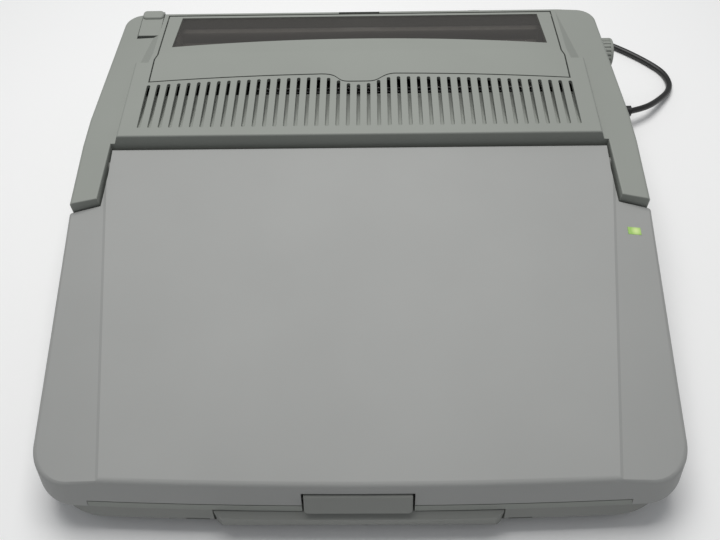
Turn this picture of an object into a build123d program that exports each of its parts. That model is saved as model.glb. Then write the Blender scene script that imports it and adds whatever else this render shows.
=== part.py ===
from build123d import *
import math
import os

# A portable word processor: a keyboard and printer unit with a hinged display lid, shut.
# Sizes are in millimetres. X is to the right, Y to the rear, Z up. The working frame has
# X = 0 on the centre plane and Z = 0 under the rubber feet; pieces are moved to the
# frame of the finished part, whose origin is under the middle of its box, when written.

# ---- Walls and running gaps
WALL = 2.6               # moulded case walls
PANEL_GAP = 0.3          # between seated covers and plates
LINE_GAP = 1.4           # open line between the lid and the case around it
COVER_GAP = 1.1          # open line round the printer cover
SHAFT_GAP = 0.05         # radial clearance of a shaft in its bore
FREE_GAP = 0.6           # clearance of a piece that passes through a wall

SCREW_R = 1.4
SCREW_HEAD_R = 2.8

# ---- Main outline
REAR_HALF = 197.5        # half width of the rear case at its arms and disk drive
SHOULDER_HALF = REAR_HALF + 2.5           # half width of the lid at its rear shoulders
LID_FRONT_HALF = SHOULDER_HALF - 6.5      # and where its front corners begin
REAR_TAPER = 7.0         # how much narrower each side is at the rear wall
REAR_Y = 197.5           # rear wall
LIP_Y = -196.0           # front edge of the lid's lip on the centre plane
BOW = 5.0                # how far the front edge bows forward
FOOT_HEIGHT = 5.0
TRAY_TOP = 24.0          # flat top of the base tray's walls
RIDGE_Z = 15.0           # ridge round the base tray
RIDGE_OUT = 2.4          # how far the ridge stands out from the tray's top edge

# ---- Lid
LID_SLOPE = 8.8          # fall of the closed lid towards the front, degrees
CREASE_Y = -190.0        # front crease of the lid on the centre plane
CREASE_Z = 48.3
LID_DEPTH = 23.0         # lid thickness, measured upright
LID_LEAN = 6.0           # how far the front face leans out from crease to lip
SIDE_LEAN = 0.1          # share of that lean at the sides
CORNER_R = 27.0          # front corners in plan
ARM_WIDTH = 20.5         # case arms beside the lid, at the hinge
ARM_THIN = 1.8           # how much thinner they are at their front ends
ARM_END_GAP = 1.6        # gap between the arms' front ends and the lid's shoulders
NECK_Y = -1.0            # where the lid widens to its shoulders, inner end
SHOULDER_Y = -4.6        # and outer end
SHOULDER_REAR = 2.2      # width of a shoulder beside its crease, rear end
SHOULDER_FRONT = 42.1    # and front end
CREASE_END_Y = -174.0
SHOULDER_FALL = 9.0      # fall of the shoulders outwards, degrees
BAND_FALL = 24.0         # fall of the narrow band along each side crease
BAND_RISE = 1.0          # shoulder's own fall less by this
BAND_STEP = 0.6          # shoulder's own plane below the crease
HINGE_Y = 35.5           # lid hinge axis
HINGE_UNDER = 6.5        # hinge axis below the lid's top face
NOSE_R = 12.0            # rounded rear end of the lid round the hinge axis
HINGE_PIN_R = 4.0
HINGE_PIN_IN = 18.0      # length of a hinge pin inside the lid
HINGE_PIN_OUT = 13.5     # and outside it, through the gap into the arm
LID_EDGE_R = 4.0         # rounding of the lid's top edges
BEZEL_LEVEL = 9.0        # display bezel above the parting face
GROOVE = 0.7             # line between the lid shell and the bezel's front trim
BEZEL_T = 2.5
RIM_GAP = 0.4            # between the lid's rim and the deck

# ---- Rear case
PLATEAU_Y = 48.2         # front wall of the raised printer section
PLATEAU_Z = 94.7
FALL_Y = 140.0           # from here the top falls to the rear
REAR_TOP_Z = 89.5
SIDE_LAND = 27.0         # width of the lower top beside the raised section
RAISED_DRAFT = 2.8       # how much wider its foot is on each side
RAISED_END_Y = 128.0     # its rear end beside the printer cover
CROWN_Y = 72.0           # highest line of the case beside the raised section
CROWN_Z = 90.3
CROWN_FALL = 3.0         # fall of that surface outwards, degrees
CROWN_FRONT_FALL = 5.9   # forwards, degrees
CROWN_REAR_FALL = 0.5    # and rearwards, degrees
ARM_EDGE_R = 0.8         # rounding of the arms' inner top edges
RAISED_EDGE_R = 1.5      # rounding of the raised section's top edges
REAR_CORNER_R = 14.0
CASE_EDGE_R = 2.5        # rounding along the case's side edges
SLOT_PITCH = 7.457
SLOT_COUNT = 2 * int((REAR_HALF - SIDE_LAND - 10) / SLOT_PITCH) + 1
SLOT_WIDTH = 2.7
SLOT_FRONT_Y = 56.4
SLOT_MARGIN = 4.2        # land between slots and printer cover
SLOT_TRAY_DROP = 9.0     # rear edge of the tray under the slots, below the top
SLOT_TRAY_T = 1.6
RIM_WIDTH = 1.6          # rim along the printer cover, behind the raised section
RIM_FALL = 28.0          # fall of its side, degrees

# ---- Printer cover
COVER_HALF = REAR_HALF - 40.9
COVER_REAR_HALF = COVER_HALF - 1.8
COVER_REAR_Y = 192.6
JOG_REAR_Y = 138.0
JOG_FRONT_Y = 132.0
COVER_CORNER_Y = 106.4
COVER_MID_Y = 111.4      # front edge at COVER_MID_X
COVER_MID_X = 88.0
COVER_DIP_X = 28.0       # where the finger tongue begins
COVER_DIP_Y = 113.4
TONGUE_X = 12.3
TONGUE_Y = 105.8
TONGUE_TIP_Y = 104.8
COVER_T = 3.0
SKIRT_T = 2.4            # side walls of the cover behind the raised section
COVER_EDGE_R = 0.8       # rounding of its top rear edge
COVER_PIN_R = 1.5
COVER_PIN_IN = 2.6       # cover hinge axis ahead of the cover's rear edge
CATCH_HALF = 16.5        # finger recess behind the cover
CATCH_LIP = 0.9          # wall behind it
CATCH_DEPTH = 6.0
WINDOW_HALF = COVER_HALF - 10.6
WINDOW_REAR_Y = 189.4
WINDOW_CORNER_Y = 147.5
WINDOW_MID_Y = 156.5
WINDOW_T = 2.0

# ---- Keyboard
KEY_PITCH = 19.0
KEY_TOP = 5.5            # key tops above the deck
KEY_SKIRT = -2.0         # lower edge of the keys
KEY_TRAVEL = 3.0
KEY_BASE = 17.6
KEY_TAPER = 12.0         # degrees
STEM = 4.0
CHIMNEY = 9.0
CHIMNEY_TOP = -5.6
FRAME_TOP = KEY_SKIRT - KEY_TRAVEL - 4.5           # key frame plate
FRAME_LOW = -11.0
BACKPLATE_T = 1.2
FUNCTION_DEPTH = 12.0    # function keys, front to rear
FUNCTION_UNIT = 1.25
SPACE_ROW_V = 52.0       # distance of the space bar row from the front, along the deck
ROW_UNITS = {
    "modifier_keys": [1.5, 1.25, 1.5, None, 1.5, 1.25, 1, 1, 1, 1],
    "bottom_letter_keys": [2.25] + [1] * 11 + [1.75, 1],
    "home_keys": [1.75] + [1] * 12 + [2.25],
    "top_letter_keys": [1.5] + [1] * 12 + [2.5],
    "number_keys": [1] * 14 + [2],
}
SPACE_UNITS = 5.0
ROW_SPAN = 16            # units across the keyboard

# ---- Printer
PLATEN_Y = 172.0
PLATEN_Z = 63.5
PLATEN_R = 12.0
PLATEN_SHAFT_R = 3.0
SIDE_PLATE_X = COVER_REAR_HALF - 0.8      # inner face of the printer's side plates
PLATEN_HALF = SIDE_PLATE_X - 10.0
PULLEY_X = SIDE_PLATE_X - 14.0
SHEET_T = 2.0
PAN_Z = 42.0
PAN_FRONT_Y = 112.0
PAN_REAR_Y = 190.0
GEAR_MODULE = 0.8
PLATEN_TEETH = 48
PINION_TEETH = 12
GEAR_WIDTH = 4.0
PINION_ANGLE = 20.0      # pinion below the platen axis, seen from the side
PINCH_R = 5.0
PINCH_GAP = 0.3
PINCH_ANGLE = 50.0       # pinch rollers above and ahead of the platen axis
KNOB_R = 12.4
KNOB_OUT = 14.4          # knob face outside the case's side
KNOB_GAP = 0.8           # knob clear of the case
KNOB_FLUTES = 24
ROD_Y = 136.0            # carriage guide rod
ROD_Z = 57.0
ROD_R = 4.0
RAIL_Y = 115.0           # front carriage rail
CARRIAGE_HALF = 23.0
CARRIAGE_TRAVEL = 2 * (PULLEY_X - 22.0)
CARRIAGE_HOME = -CARRIAGE_TRAVEL / 2
PULLEY_R = 6.0
BELT_Y = 125.0
BELT_Z = 49.0
BELT_T = 1.0
MOTOR_R = 14.0
FEED_MOTOR_R = 10.0

# ---- Disk drive, boards and controls
DRIVE_FRONT_Y = 0.0
DRIVE_RECESS = 0.3       # drive front behind the case's side at its rear end
DRIVE_WIDTH = 101.6
DRIVE_DEPTH = 118.0
DRIVE_LOW = 26.5
DRIVE_HEIGHT = 22.0
DISK_WIDTH = 93.0
DISK_SLOT = 5.0
DISK_DEPTH = 96.0
BUTTON_TRAVEL = 4.0
SWITCH_TRAVEL = 4.0
SWITCH_Y = 122.0
SWITCH_Z = 38.0
BOARD_Z = 13.0
BOARD_T = 1.6
FOOT_R = 9.0
INLET_Y = 156.0
INLET_Z = 15.0
DIAL_Z = 9.5
DIAL_HALF = 3.0          # half the slider's knob
DIAL_TRAVEL = 4.0        # to each side
LAMP_X = SHOULDER_HALF - 15.2             # power lamp on the right shoulder
LAMP_Y = -23.0
LAMP_SIZE = (8.8, 5.2)

TRIM_HALF = LID_FRONT_HALF - 32.5         # dark strip above the handle
TRIM_TOP_Z = 30.2
CASE_SCREW_YS = ((107.5, 138.0), (62.0, 138.0))   # right side, left side
CASE_SCREW_TOP = 44.0    # top of the posts they run into
TRAY_TUCK = 20.0         # degrees the tray's sides lean in below the ridge
DECK_T = 2.5             # keyboard deck
BOARD_BOX = (19.5 - REAR_HALF, 62.0, -100.0, 92.0)          # x, x, y, y of the main board
POWER_BOX = (REAR_HALF - 109.5, REAR_HALF - 27.5, 114.0, 178.0)           # and of the power board
CHIPS = [(-140, -60, 28, 28), (-90, -60, 14, 36), (-60, -60, 14, 36), (-30, -60, 14, 36),
         (-130, 10, 40, 14), (-70, 10, 30, 30), (-10, 20, 28, 14), (30, -40, 20, 28),
         (-140, 60, 36, 14), (-80, 60, 14, 30), (-30, 64, 30, 14)]

# ---- Display
SCREEN_HALF = 115.0
SCREEN_V = (45.0, 185.0)  # screen opening, distance from the front along the deck
MODULE_MARGIN = 18.0
MODULE_T = 7.0
GLASS_T = 1.6

# ---- Handle and latch
HANDLE_HALF = 86.0
DIAL_X = -HANDLE_HALF - 27.0              # contrast slider in the base's front
HANDLE_GAP = 0.8
HANDLE_BULGE = 4.4       # grip front ahead of the tray's top edge on the centre plane
HANDLE_LOW_Z = 6.0
HANDLE_TRAVEL = 38.0
GRIP_DEPTH = 11.0
ARM_BAR_W = 12.0
ARM_BAR_T = 5.0
ARM_BAR_L = HANDLE_TRAVEL + 37.0
LATCH_HALF = 31.7
LATCH_GAP = 1.5
LATCH_TOP_Z = 39.6
LATCH_LOW_Z = 27.0
LATCH_OUT = 2.8          # latch plate proud of the lid's front face
LATCH_T = 3.4
LATCH_AXIS_Y = -188.0
LATCH_AXIS_Z = 37.0
LATCH_PIN_R = 1.5
FINGER_HALF = 7.0        # latch finger
FINGER_Y = -184.5
FINGER_T = 2.2
FINGER_LOW_Z = 19.0
LATCH_SWING = 12.0       # degrees
RELEASE_X = (20.5 - REAR_HALF, 37.5 - REAR_HALF)
RELEASE_Y = 170.0
RELEASE_Z = 84.0
THUMB_RISE = 2.0         # thumb end of the release lever above its arm
THUMB_CORNER_R = 3.2

# ---- Mains lead (points of its route are chosen by hand)
LEAD_R = 2.6
COIL_CENTRE = (115.0, 258.0)
COIL_INNER_R = 25.6
COIL_OUTER_R = 36.8
COIL_HEIGHT = 21.4
LEAD_POINTS = [
    (232.0, 156.0, 15.0), (245.5, 161.5, 13.0), (261.5, 175.6, 8.6), (279.5, 196.8, 3.4),
    (279.9, 217.2, 2.8), (268.3, 233.8, 2.8), (244.7, 256.0, 2.8), (216.0, 275.0, 2.8),
    (184.0, 286.5, 2.8), (152.0, 291.5, 2.8), (118.0, 292.0, 2.8),
]
TAIL_POINTS = [
    (112.0, 292.0, 18.7), (96.0, 292.6, 17.4), (80.0, 291.2, 12.4), (64.0, 289.2, 7.6),
    (50.0, 288.5, 6.4),
]
PLUG_X = 50.0
PLUG_Y = 288.5
PLUG_Z = 6.4

# ---- Derived places
TAN_S = math.tan(math.radians(LID_SLOPE))
COS_S = math.cos(math.radians(LID_SLOPE))
SIN_S = math.sin(math.radians(LID_SLOPE))
PARTING_Z = CREASE_Z - LID_DEPTH
LID_THICK = LID_DEPTH * COS_S
BASE_Z = FOOT_HEIGHT
FLOOR_Z = BASE_Z + WALL
REACH = 900.0            # longer than the whole machine
DECK = Plane(origin=(0, CREASE_Y, PARTING_Z), x_dir=(1, 0, 0), z_dir=(0, -SIN_S, COS_S))
HINGE_Z = CREASE_Z + (HINGE_Y - CREASE_Y) * TAN_S - HINGE_UNDER / COS_S
SPLIT_Z = TRAY_TOP + PANEL_GAP
LID_REAR_HALF = REAR_HALF - ARM_WIDTH - LINE_GAP   # lid between the arms, at the hinge
LID_NECK_HALF = LID_REAR_HALF + ARM_THIN           # and at the arms' front ends
CREASE_REAR_X = LID_REAR_HALF - SHOULDER_REAR
CREASE_FRONT_X = LID_FRONT_HALF - SHOULDER_FRONT
ARM_END_IN_Y = NECK_Y + ARM_END_GAP
ARM_END_OUT_Y = SHOULDER_Y + ARM_END_GAP
RAISED_HALF = REAR_HALF - SIDE_LAND
COVER_FALL = math.atan2(PLATEAU_Z - REAR_TOP_Z, REAR_Y - FALL_Y)
PINION_Y = PLATEN_Y - GEAR_MODULE * (PLATEN_TEETH + PINION_TEETH) / 2 * math.cos(
    math.radians(PINION_ANGLE))
PINION_Z = PLATEN_Z - GEAR_MODULE * (PLATEN_TEETH + PINION_TEETH) / 2 * math.sin(
    math.radians(PINION_ANGLE))
PINCH_REACH = PLATEN_R + PINCH_R + PINCH_GAP
PINCH_Y = PLATEN_Y - PINCH_REACH * math.cos(math.radians(PINCH_ANGLE))
PINCH_Z = PLATEN_Z + PINCH_REACH * math.sin(math.radians(PINCH_ANGLE))
GRIP_FRONT_Y = LIP_Y - HANDLE_BULGE
LEAD_PIECES = ("inlet_plug", "mains_lead", "lead_coil", "mains_plug")

PIECES = {}


# ---- Small helpers
def block(x0, x1, y0, y1, z0, z1):
    """Box between two corners."""
    box = Box(x1 - x0, y1 - y0, z1 - z0)
    return Pos((x0 + x1) / 2, (y0 + y1) / 2, (z0 + z1) / 2) * box


def rod_x(radius, x0, x1, y, z):
    """Cylinder along X."""
    return Pos((x0 + x1) / 2, y, z) * Rot(0, 90, 0) * Cylinder(radius, x1 - x0)


def rod_z(radius, z0, z1, x, y):
    """Cylinder along Z."""
    return Pos(x, y, (z0 + z1) / 2) * Cylinder(radius, z1 - z0)


def above(plane):
    """Everything above a plane."""
    return plane * Pos(0, 0, REACH / 2) * Box(REACH, REACH, REACH)


def prism(face, z0, z1):
    """Upright prism on a plan outline."""
    return extrude(Pos(0, 0, z0) * face, z1 - z0)


def profile_x(points, x0, x1):
    """Side profile, given as (y, z) points, run from x0 to x1."""
    outline = [(0, y, z) for y, z in points]
    face = make_face(Polyline(*outline, close=True))
    return Pos(x0, 0, 0) * extrude(face, x1 - x0, dir=(1, 0, 0))


def deck_z(y):
    """Height of the parting face between deck and lid."""
    return PARTING_Z + (y - CREASE_Y) * TAN_S


def lid_top_z(y):
    return deck_z(y) + LID_DEPTH


def top_z(y):
    """Height of the raised section's top."""
    return PLATEAU_Z - max(0.0, y - FALL_Y) * math.tan(COVER_FALL)


def side_x(y):
    """Half width of the rear case at y."""
    return REAR_HALF - REAR_TAPER * max(0.0, y - PLATEAU_Y) / (REAR_Y - PLATEAU_Y)


def land_z(x, y):
    """Height of the case's lower top beside the raised section."""
    fall = CROWN_FRONT_FALL if y < CROWN_Y else CROWN_REAR_FALL
    return (CROWN_Z - (abs(x) - RAISED_HALF) * math.tan(math.radians(CROWN_FALL))
            - abs(y - CROWN_Y) * math.tan(math.radians(fall)))


def arm_inner_x(y):
    """X of the right arm's inner face at y."""
    share = (PLATEAU_Y - y) / (PLATEAU_Y - ARM_END_IN_Y)
    return LID_REAR_HALF + LINE_GAP + ARM_THIN * share


def both_sides(shape):
    """A shape and its mirror image across the centre plane."""
    return [shape, mirror(shape, Plane.YZ)]


def piece(name, *solids):
    PIECES[name] = list(solids)


# ---- Plan outlines
def front_outline(half_front, corner_y, centre_y, right_rear, corner_r):
    """Closed plan with tapering sides, round front corners and a bowed front edge.
    right_rear holds the points of its right rear part, from the side inwards."""
    front = ThreePointArc((-half_front, corner_y), (0, centre_y), (half_front, corner_y))
    left_rear = [(-x, y) for x, y in reversed(right_rear)]
    rest = Polyline((half_front, corner_y), *right_rear, *left_rear, (-half_front, corner_y))
    face = make_face(front + rest)
    corners = face.vertices().sort_by(Axis.Y)[:2]
    return fillet(corners, corner_r)


def lid_plan(lean, inset=0.0):
    """Lid shoulders in plan, drawn in by lean at the front and a little at the sides."""
    side = (lean - 2 * LID_LEAN) * SIDE_LEAN + inset
    front = lean + inset
    rear = [(SHOULDER_HALF - side, SHOULDER_Y - inset), (LID_NECK_HALF - inset, NECK_Y - inset)]
    return front_outline(LID_FRONT_HALF - side, LIP_Y + BOW + front, LIP_Y + front, rear,
                         CORNER_R - inset)


def tray_plan(inset):
    """Base tray in plan at its ridge, drawn in by inset."""
    wide = REAR_HALF + RIDGE_OUT
    rear = [(wide, ARM_END_OUT_Y), (wide, PLATEAU_Y), (wide - REAR_TAPER, REAR_Y + RIDGE_OUT)]
    face = front_outline(LID_FRONT_HALF - 2.5, LIP_Y + BOW - RIDGE_OUT, LIP_Y - RIDGE_OUT,
                         rear, CORNER_R + 14.0)
    rear = [v for v in face.vertices() if v.Y > REAR_Y]
    face = fillet(rear, REAR_CORNER_R)
    return offset(face, -inset, kind=Kind.INTERSECTION) if inset else face


def rear_plan(inset):
    """Rear case in plan: a rear block with an arm on each side."""
    right = [
        (LID_REAR_HALF + LINE_GAP, PLATEAU_Y), (LID_NECK_HALF + LINE_GAP, ARM_END_IN_Y),
        (REAR_HALF, ARM_END_OUT_Y), (REAR_HALF, PLATEAU_Y), (side_x(REAR_Y), REAR_Y),
    ]
    left = [(-x, y) for x, y in reversed(right)]
    face = make_face(Polyline(*right, *left, close=True))
    rear = [v for v in face.vertices() if v.Y > REAR_Y - 1]
    face = fillet(rear, REAR_CORNER_R)
    return offset(face, -inset, kind=Kind.INTERSECTION) if inset else face


def cover_plan(gap):
    """Printer cover in plan, grown by gap."""
    half = COVER_HALF + gap
    edge_right = ThreePointArc((half, COVER_CORNER_Y - gap), (COVER_MID_X, COVER_MID_Y - gap),
                               (COVER_DIP_X, COVER_DIP_Y - gap))
    edge_left = ThreePointArc((-COVER_DIP_X, COVER_DIP_Y - gap),
                              (-COVER_MID_X, COVER_MID_Y - gap), (-half, COVER_CORNER_Y - gap))
    tongue = Spline((COVER_DIP_X, COVER_DIP_Y - gap), (TONGUE_X, TONGUE_Y - gap),
                    (0, TONGUE_TIP_Y - gap), (-TONGUE_X, TONGUE_Y - gap),
                    (-COVER_DIP_X, COVER_DIP_Y - gap), tangents=((-1, 0), (-1, 0)))
    right = [(half, COVER_CORNER_Y - gap), (half, JOG_FRONT_Y),
             (COVER_REAR_HALF + gap, JOG_REAR_Y), (COVER_REAR_HALF + gap, COVER_REAR_Y + gap)]
    left = [(-x, y) for x, y in reversed(right)]
    return make_face(edge_right + tongue + edge_left + Polyline(*right, *left))


def window_plan(inset):
    """Printer window in plan, drawn in by inset."""
    front = ThreePointArc((-WINDOW_HALF, WINDOW_CORNER_Y), (0, WINDOW_MID_Y),
                          (WINDOW_HALF, WINDOW_CORNER_Y))
    rest = Polyline((WINDOW_HALF, WINDOW_CORNER_Y), (WINDOW_HALF - 2, WINDOW_REAR_Y),
                    (2 - WINDOW_HALF, WINDOW_REAR_Y), (-WINDOW_HALF, WINDOW_CORNER_Y))
    face = make_face(front + rest)
    return offset(face, -inset, kind=Kind.INTERSECTION) if inset else face


def cover_edge_y(x):
    """Y of the printer cover's front edge at x."""
    x = abs(x)
    if x >= COVER_DIP_X:
        share = (x - COVER_DIP_X) / (COVER_HALF - COVER_DIP_X)
        return COVER_DIP_Y - (COVER_DIP_Y - COVER_CORNER_Y) * share ** 1.5
    share = x / COVER_DIP_X
    return TONGUE_TIP_Y + (COVER_DIP_Y - TONGUE_TIP_Y) * (1 - math.cos(math.pi * share)) / 2


# ---- Places that follow from the forms
LID_SCREWS = [(side * x, v)
              for x, v in ((CREASE_FRONT_X - 4.0, 16.0), (CREASE_REAR_X - 10.4, 196.0))
              for side in (1, -1)]
HOLLOW_END_Y = HINGE_Y - NOSE_R - 1.0
SCREEN_LEVEL = BEZEL_LEVEL + 0.4
CASE_SCREWS = [(side * (side_x(y) - 9.0), y)
               for side, ys in zip((1, -1), CASE_SCREW_YS) for y in ys]
COVER_AXIS_Y = COVER_REAR_Y - COVER_PIN_IN
COVER_AXIS_Z = PLATEAU_Z - (COVER_AXIS_Y - FALL_Y) * math.tan(COVER_FALL) - COVER_T
DECK_SCREWS = [(side * (LID_FRONT_HALF - inset), y)
               for inset, y in ((25.5, -160.0), (9.5, -40.0))
               for side in (1, -1)]
FEET = [(side * x, y)
        for x, y in ((LID_FRONT_HALF - 43.5, LIP_Y + 28.0), (REAR_HALF - 37.5, REAR_Y - 25.5))
        for side in (1, -1)]
DRIVE_FACE_X = side_x(DRIVE_FRONT_Y + DRIVE_WIDTH) - DRIVE_RECESS
DRIVE_X = DRIVE_FACE_X - DRIVE_DEPTH
DRIVE_POSTS = [(x, y) for x in (DRIVE_X + 12, DRIVE_FACE_X - 14)
               for y in (DRIVE_FRONT_Y + 8, DRIVE_FRONT_Y + DRIVE_WIDTH - 8)]
PAN_POSTS = [(-110.0, 184.0), (110.0, 184.0), (-100.0, 118.0), (76.0, 118.0)]
HANDLE_WALL_Y = LIP_Y - HANDLE_BULGE + GRIP_DEPTH + 0.6
ROW_V = {name: SPACE_ROW_V + KEY_PITCH * i for i, name in enumerate(ROW_UNITS)}
FUNCTION_V = SPACE_ROW_V + KEY_PITCH * len(ROW_UNITS) + 1.5
WINDOW_X = ROW_SPAN * KEY_PITCH / 2 + 1.2
WINDOW_V = (SPACE_ROW_V - KEY_PITCH / 2 - 1.0, FUNCTION_V + FUNCTION_DEPTH / 2 + 1.5)
FRAME_BOX = (WINDOW_X + 7, WINDOW_V[0] - 7, WINDOW_V[1] + 7)
KNOB_FACE_X = side_x(PLATEN_Y) + KNOB_OUT
GEAR_X = -SIDE_PLATE_X + 1.4
PLATEN_SHAFT_END = -SIDE_PLATE_X - SHEET_T - 2.0


# ---- Lid pieces
def lid_outside(inset=0.0, drop=0.0):
    """The lid's outer form, or its hollow when drawn in by inset and lowered by drop."""
    lean_per_z = LID_LEAN / LID_DEPTH
    low_z, high_z = PARTING_Z - 12.0, CREASE_Z + 45.0
    faces = [Pos(0, 0, z) * lid_plan((z - PARTING_Z) * lean_per_z, inset).face()
             for z in (low_z, high_z)]
    form = loft(faces, ruled=True)
    neck = make_face(Polyline(
        (LID_NECK_HALF - inset, SHOULDER_Y - 4), (LID_NECK_HALF - inset, NECK_Y - inset),
        (LID_REAR_HALF - inset, HINGE_Y - NOSE_R), (LID_REAR_HALF - inset, HINGE_Y),
        (inset - LID_REAR_HALF, HINGE_Y), (inset - LID_REAR_HALF, HINGE_Y - NOSE_R),
        (inset - LID_NECK_HALF, NECK_Y - inset), (inset - LID_NECK_HALF, SHOULDER_Y - 4),
        close=True))
    form += prism(neck, low_z, high_z)
    if not inset:
        form += rod_x(NOSE_R, -LID_REAR_HALF, LID_REAR_HALF, HINGE_Y, HINGE_Z)
    top = Plane(origin=(0, CREASE_Y, CREASE_Z - drop), x_dir=(1, 0, 0),
                z_dir=(0, -SIN_S, COS_S))
    form -= above(top)
    for side in (1, -1):
        form -= above(side_plane(side, drop, SHOULDER_FALL))
    return form


def side_plane(side, drop, fall):
    """Plane that holds a side crease, lowered by drop, and falls outwards."""
    rear = Vector(side * CREASE_REAR_X, NECK_Y, lid_top_z(NECK_Y) - drop)
    front = Vector(side * CREASE_FRONT_X, CREASE_END_Y, lid_top_z(CREASE_END_Y) - drop)
    along = (rear - front).normalized()
    flat = Vector(0, -SIN_S, COS_S)
    normal = flat.rotate(Axis((0, 0, 0), tuple(along)), side * fall)
    return Plane(origin=tuple(rear), x_dir=tuple(along), z_dir=tuple(normal))


def crease_band(side, drop=0.0):
    """What is cut away over a shoulder so that the panel stands out along its crease."""
    band = above(side_plane(side, drop, BAND_FALL))
    return band & above(side_plane(side, drop + BAND_STEP, SHOULDER_FALL - BAND_RISE))


def lid_rim(form):
    """Front and side edges of the lid's top face, found as the edges of only one upward
    face."""
    seen = {}
    for face in form.faces():
        if face.normal_at().Z < 0.9:
            continue
        for edge in face.edges():
            centre = edge.center()
            key = (round(centre.X, 2), round(centre.Y, 2), round(centre.Z, 2))
            seen.setdefault(key, []).append(edge)
    return [edges[0] for key, edges in seen.items() if len(edges) == 1 and key[1] < SHOULDER_Y]


def slab(n0, n1):
    """Layer between two levels above the parting face."""
    return DECK * block(-REACH / 2, REACH / 2, -REACH / 2, REACH / 2, n0, n1)


def local_block(x0, x1, v0, v1, n0, n1):
    return DECK * block(x0, x1, v0, v1, n0, n1)


def local_rod(radius, x, v, n0, n1):
    return DECK * rod_z(radius, n0, n1, x, v)


def front_face_y(z):
    """Y of the lid's front face on the centre plane."""
    return CREASE_Y - (CREASE_Z - z) * LID_LEAN / LID_DEPTH


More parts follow.
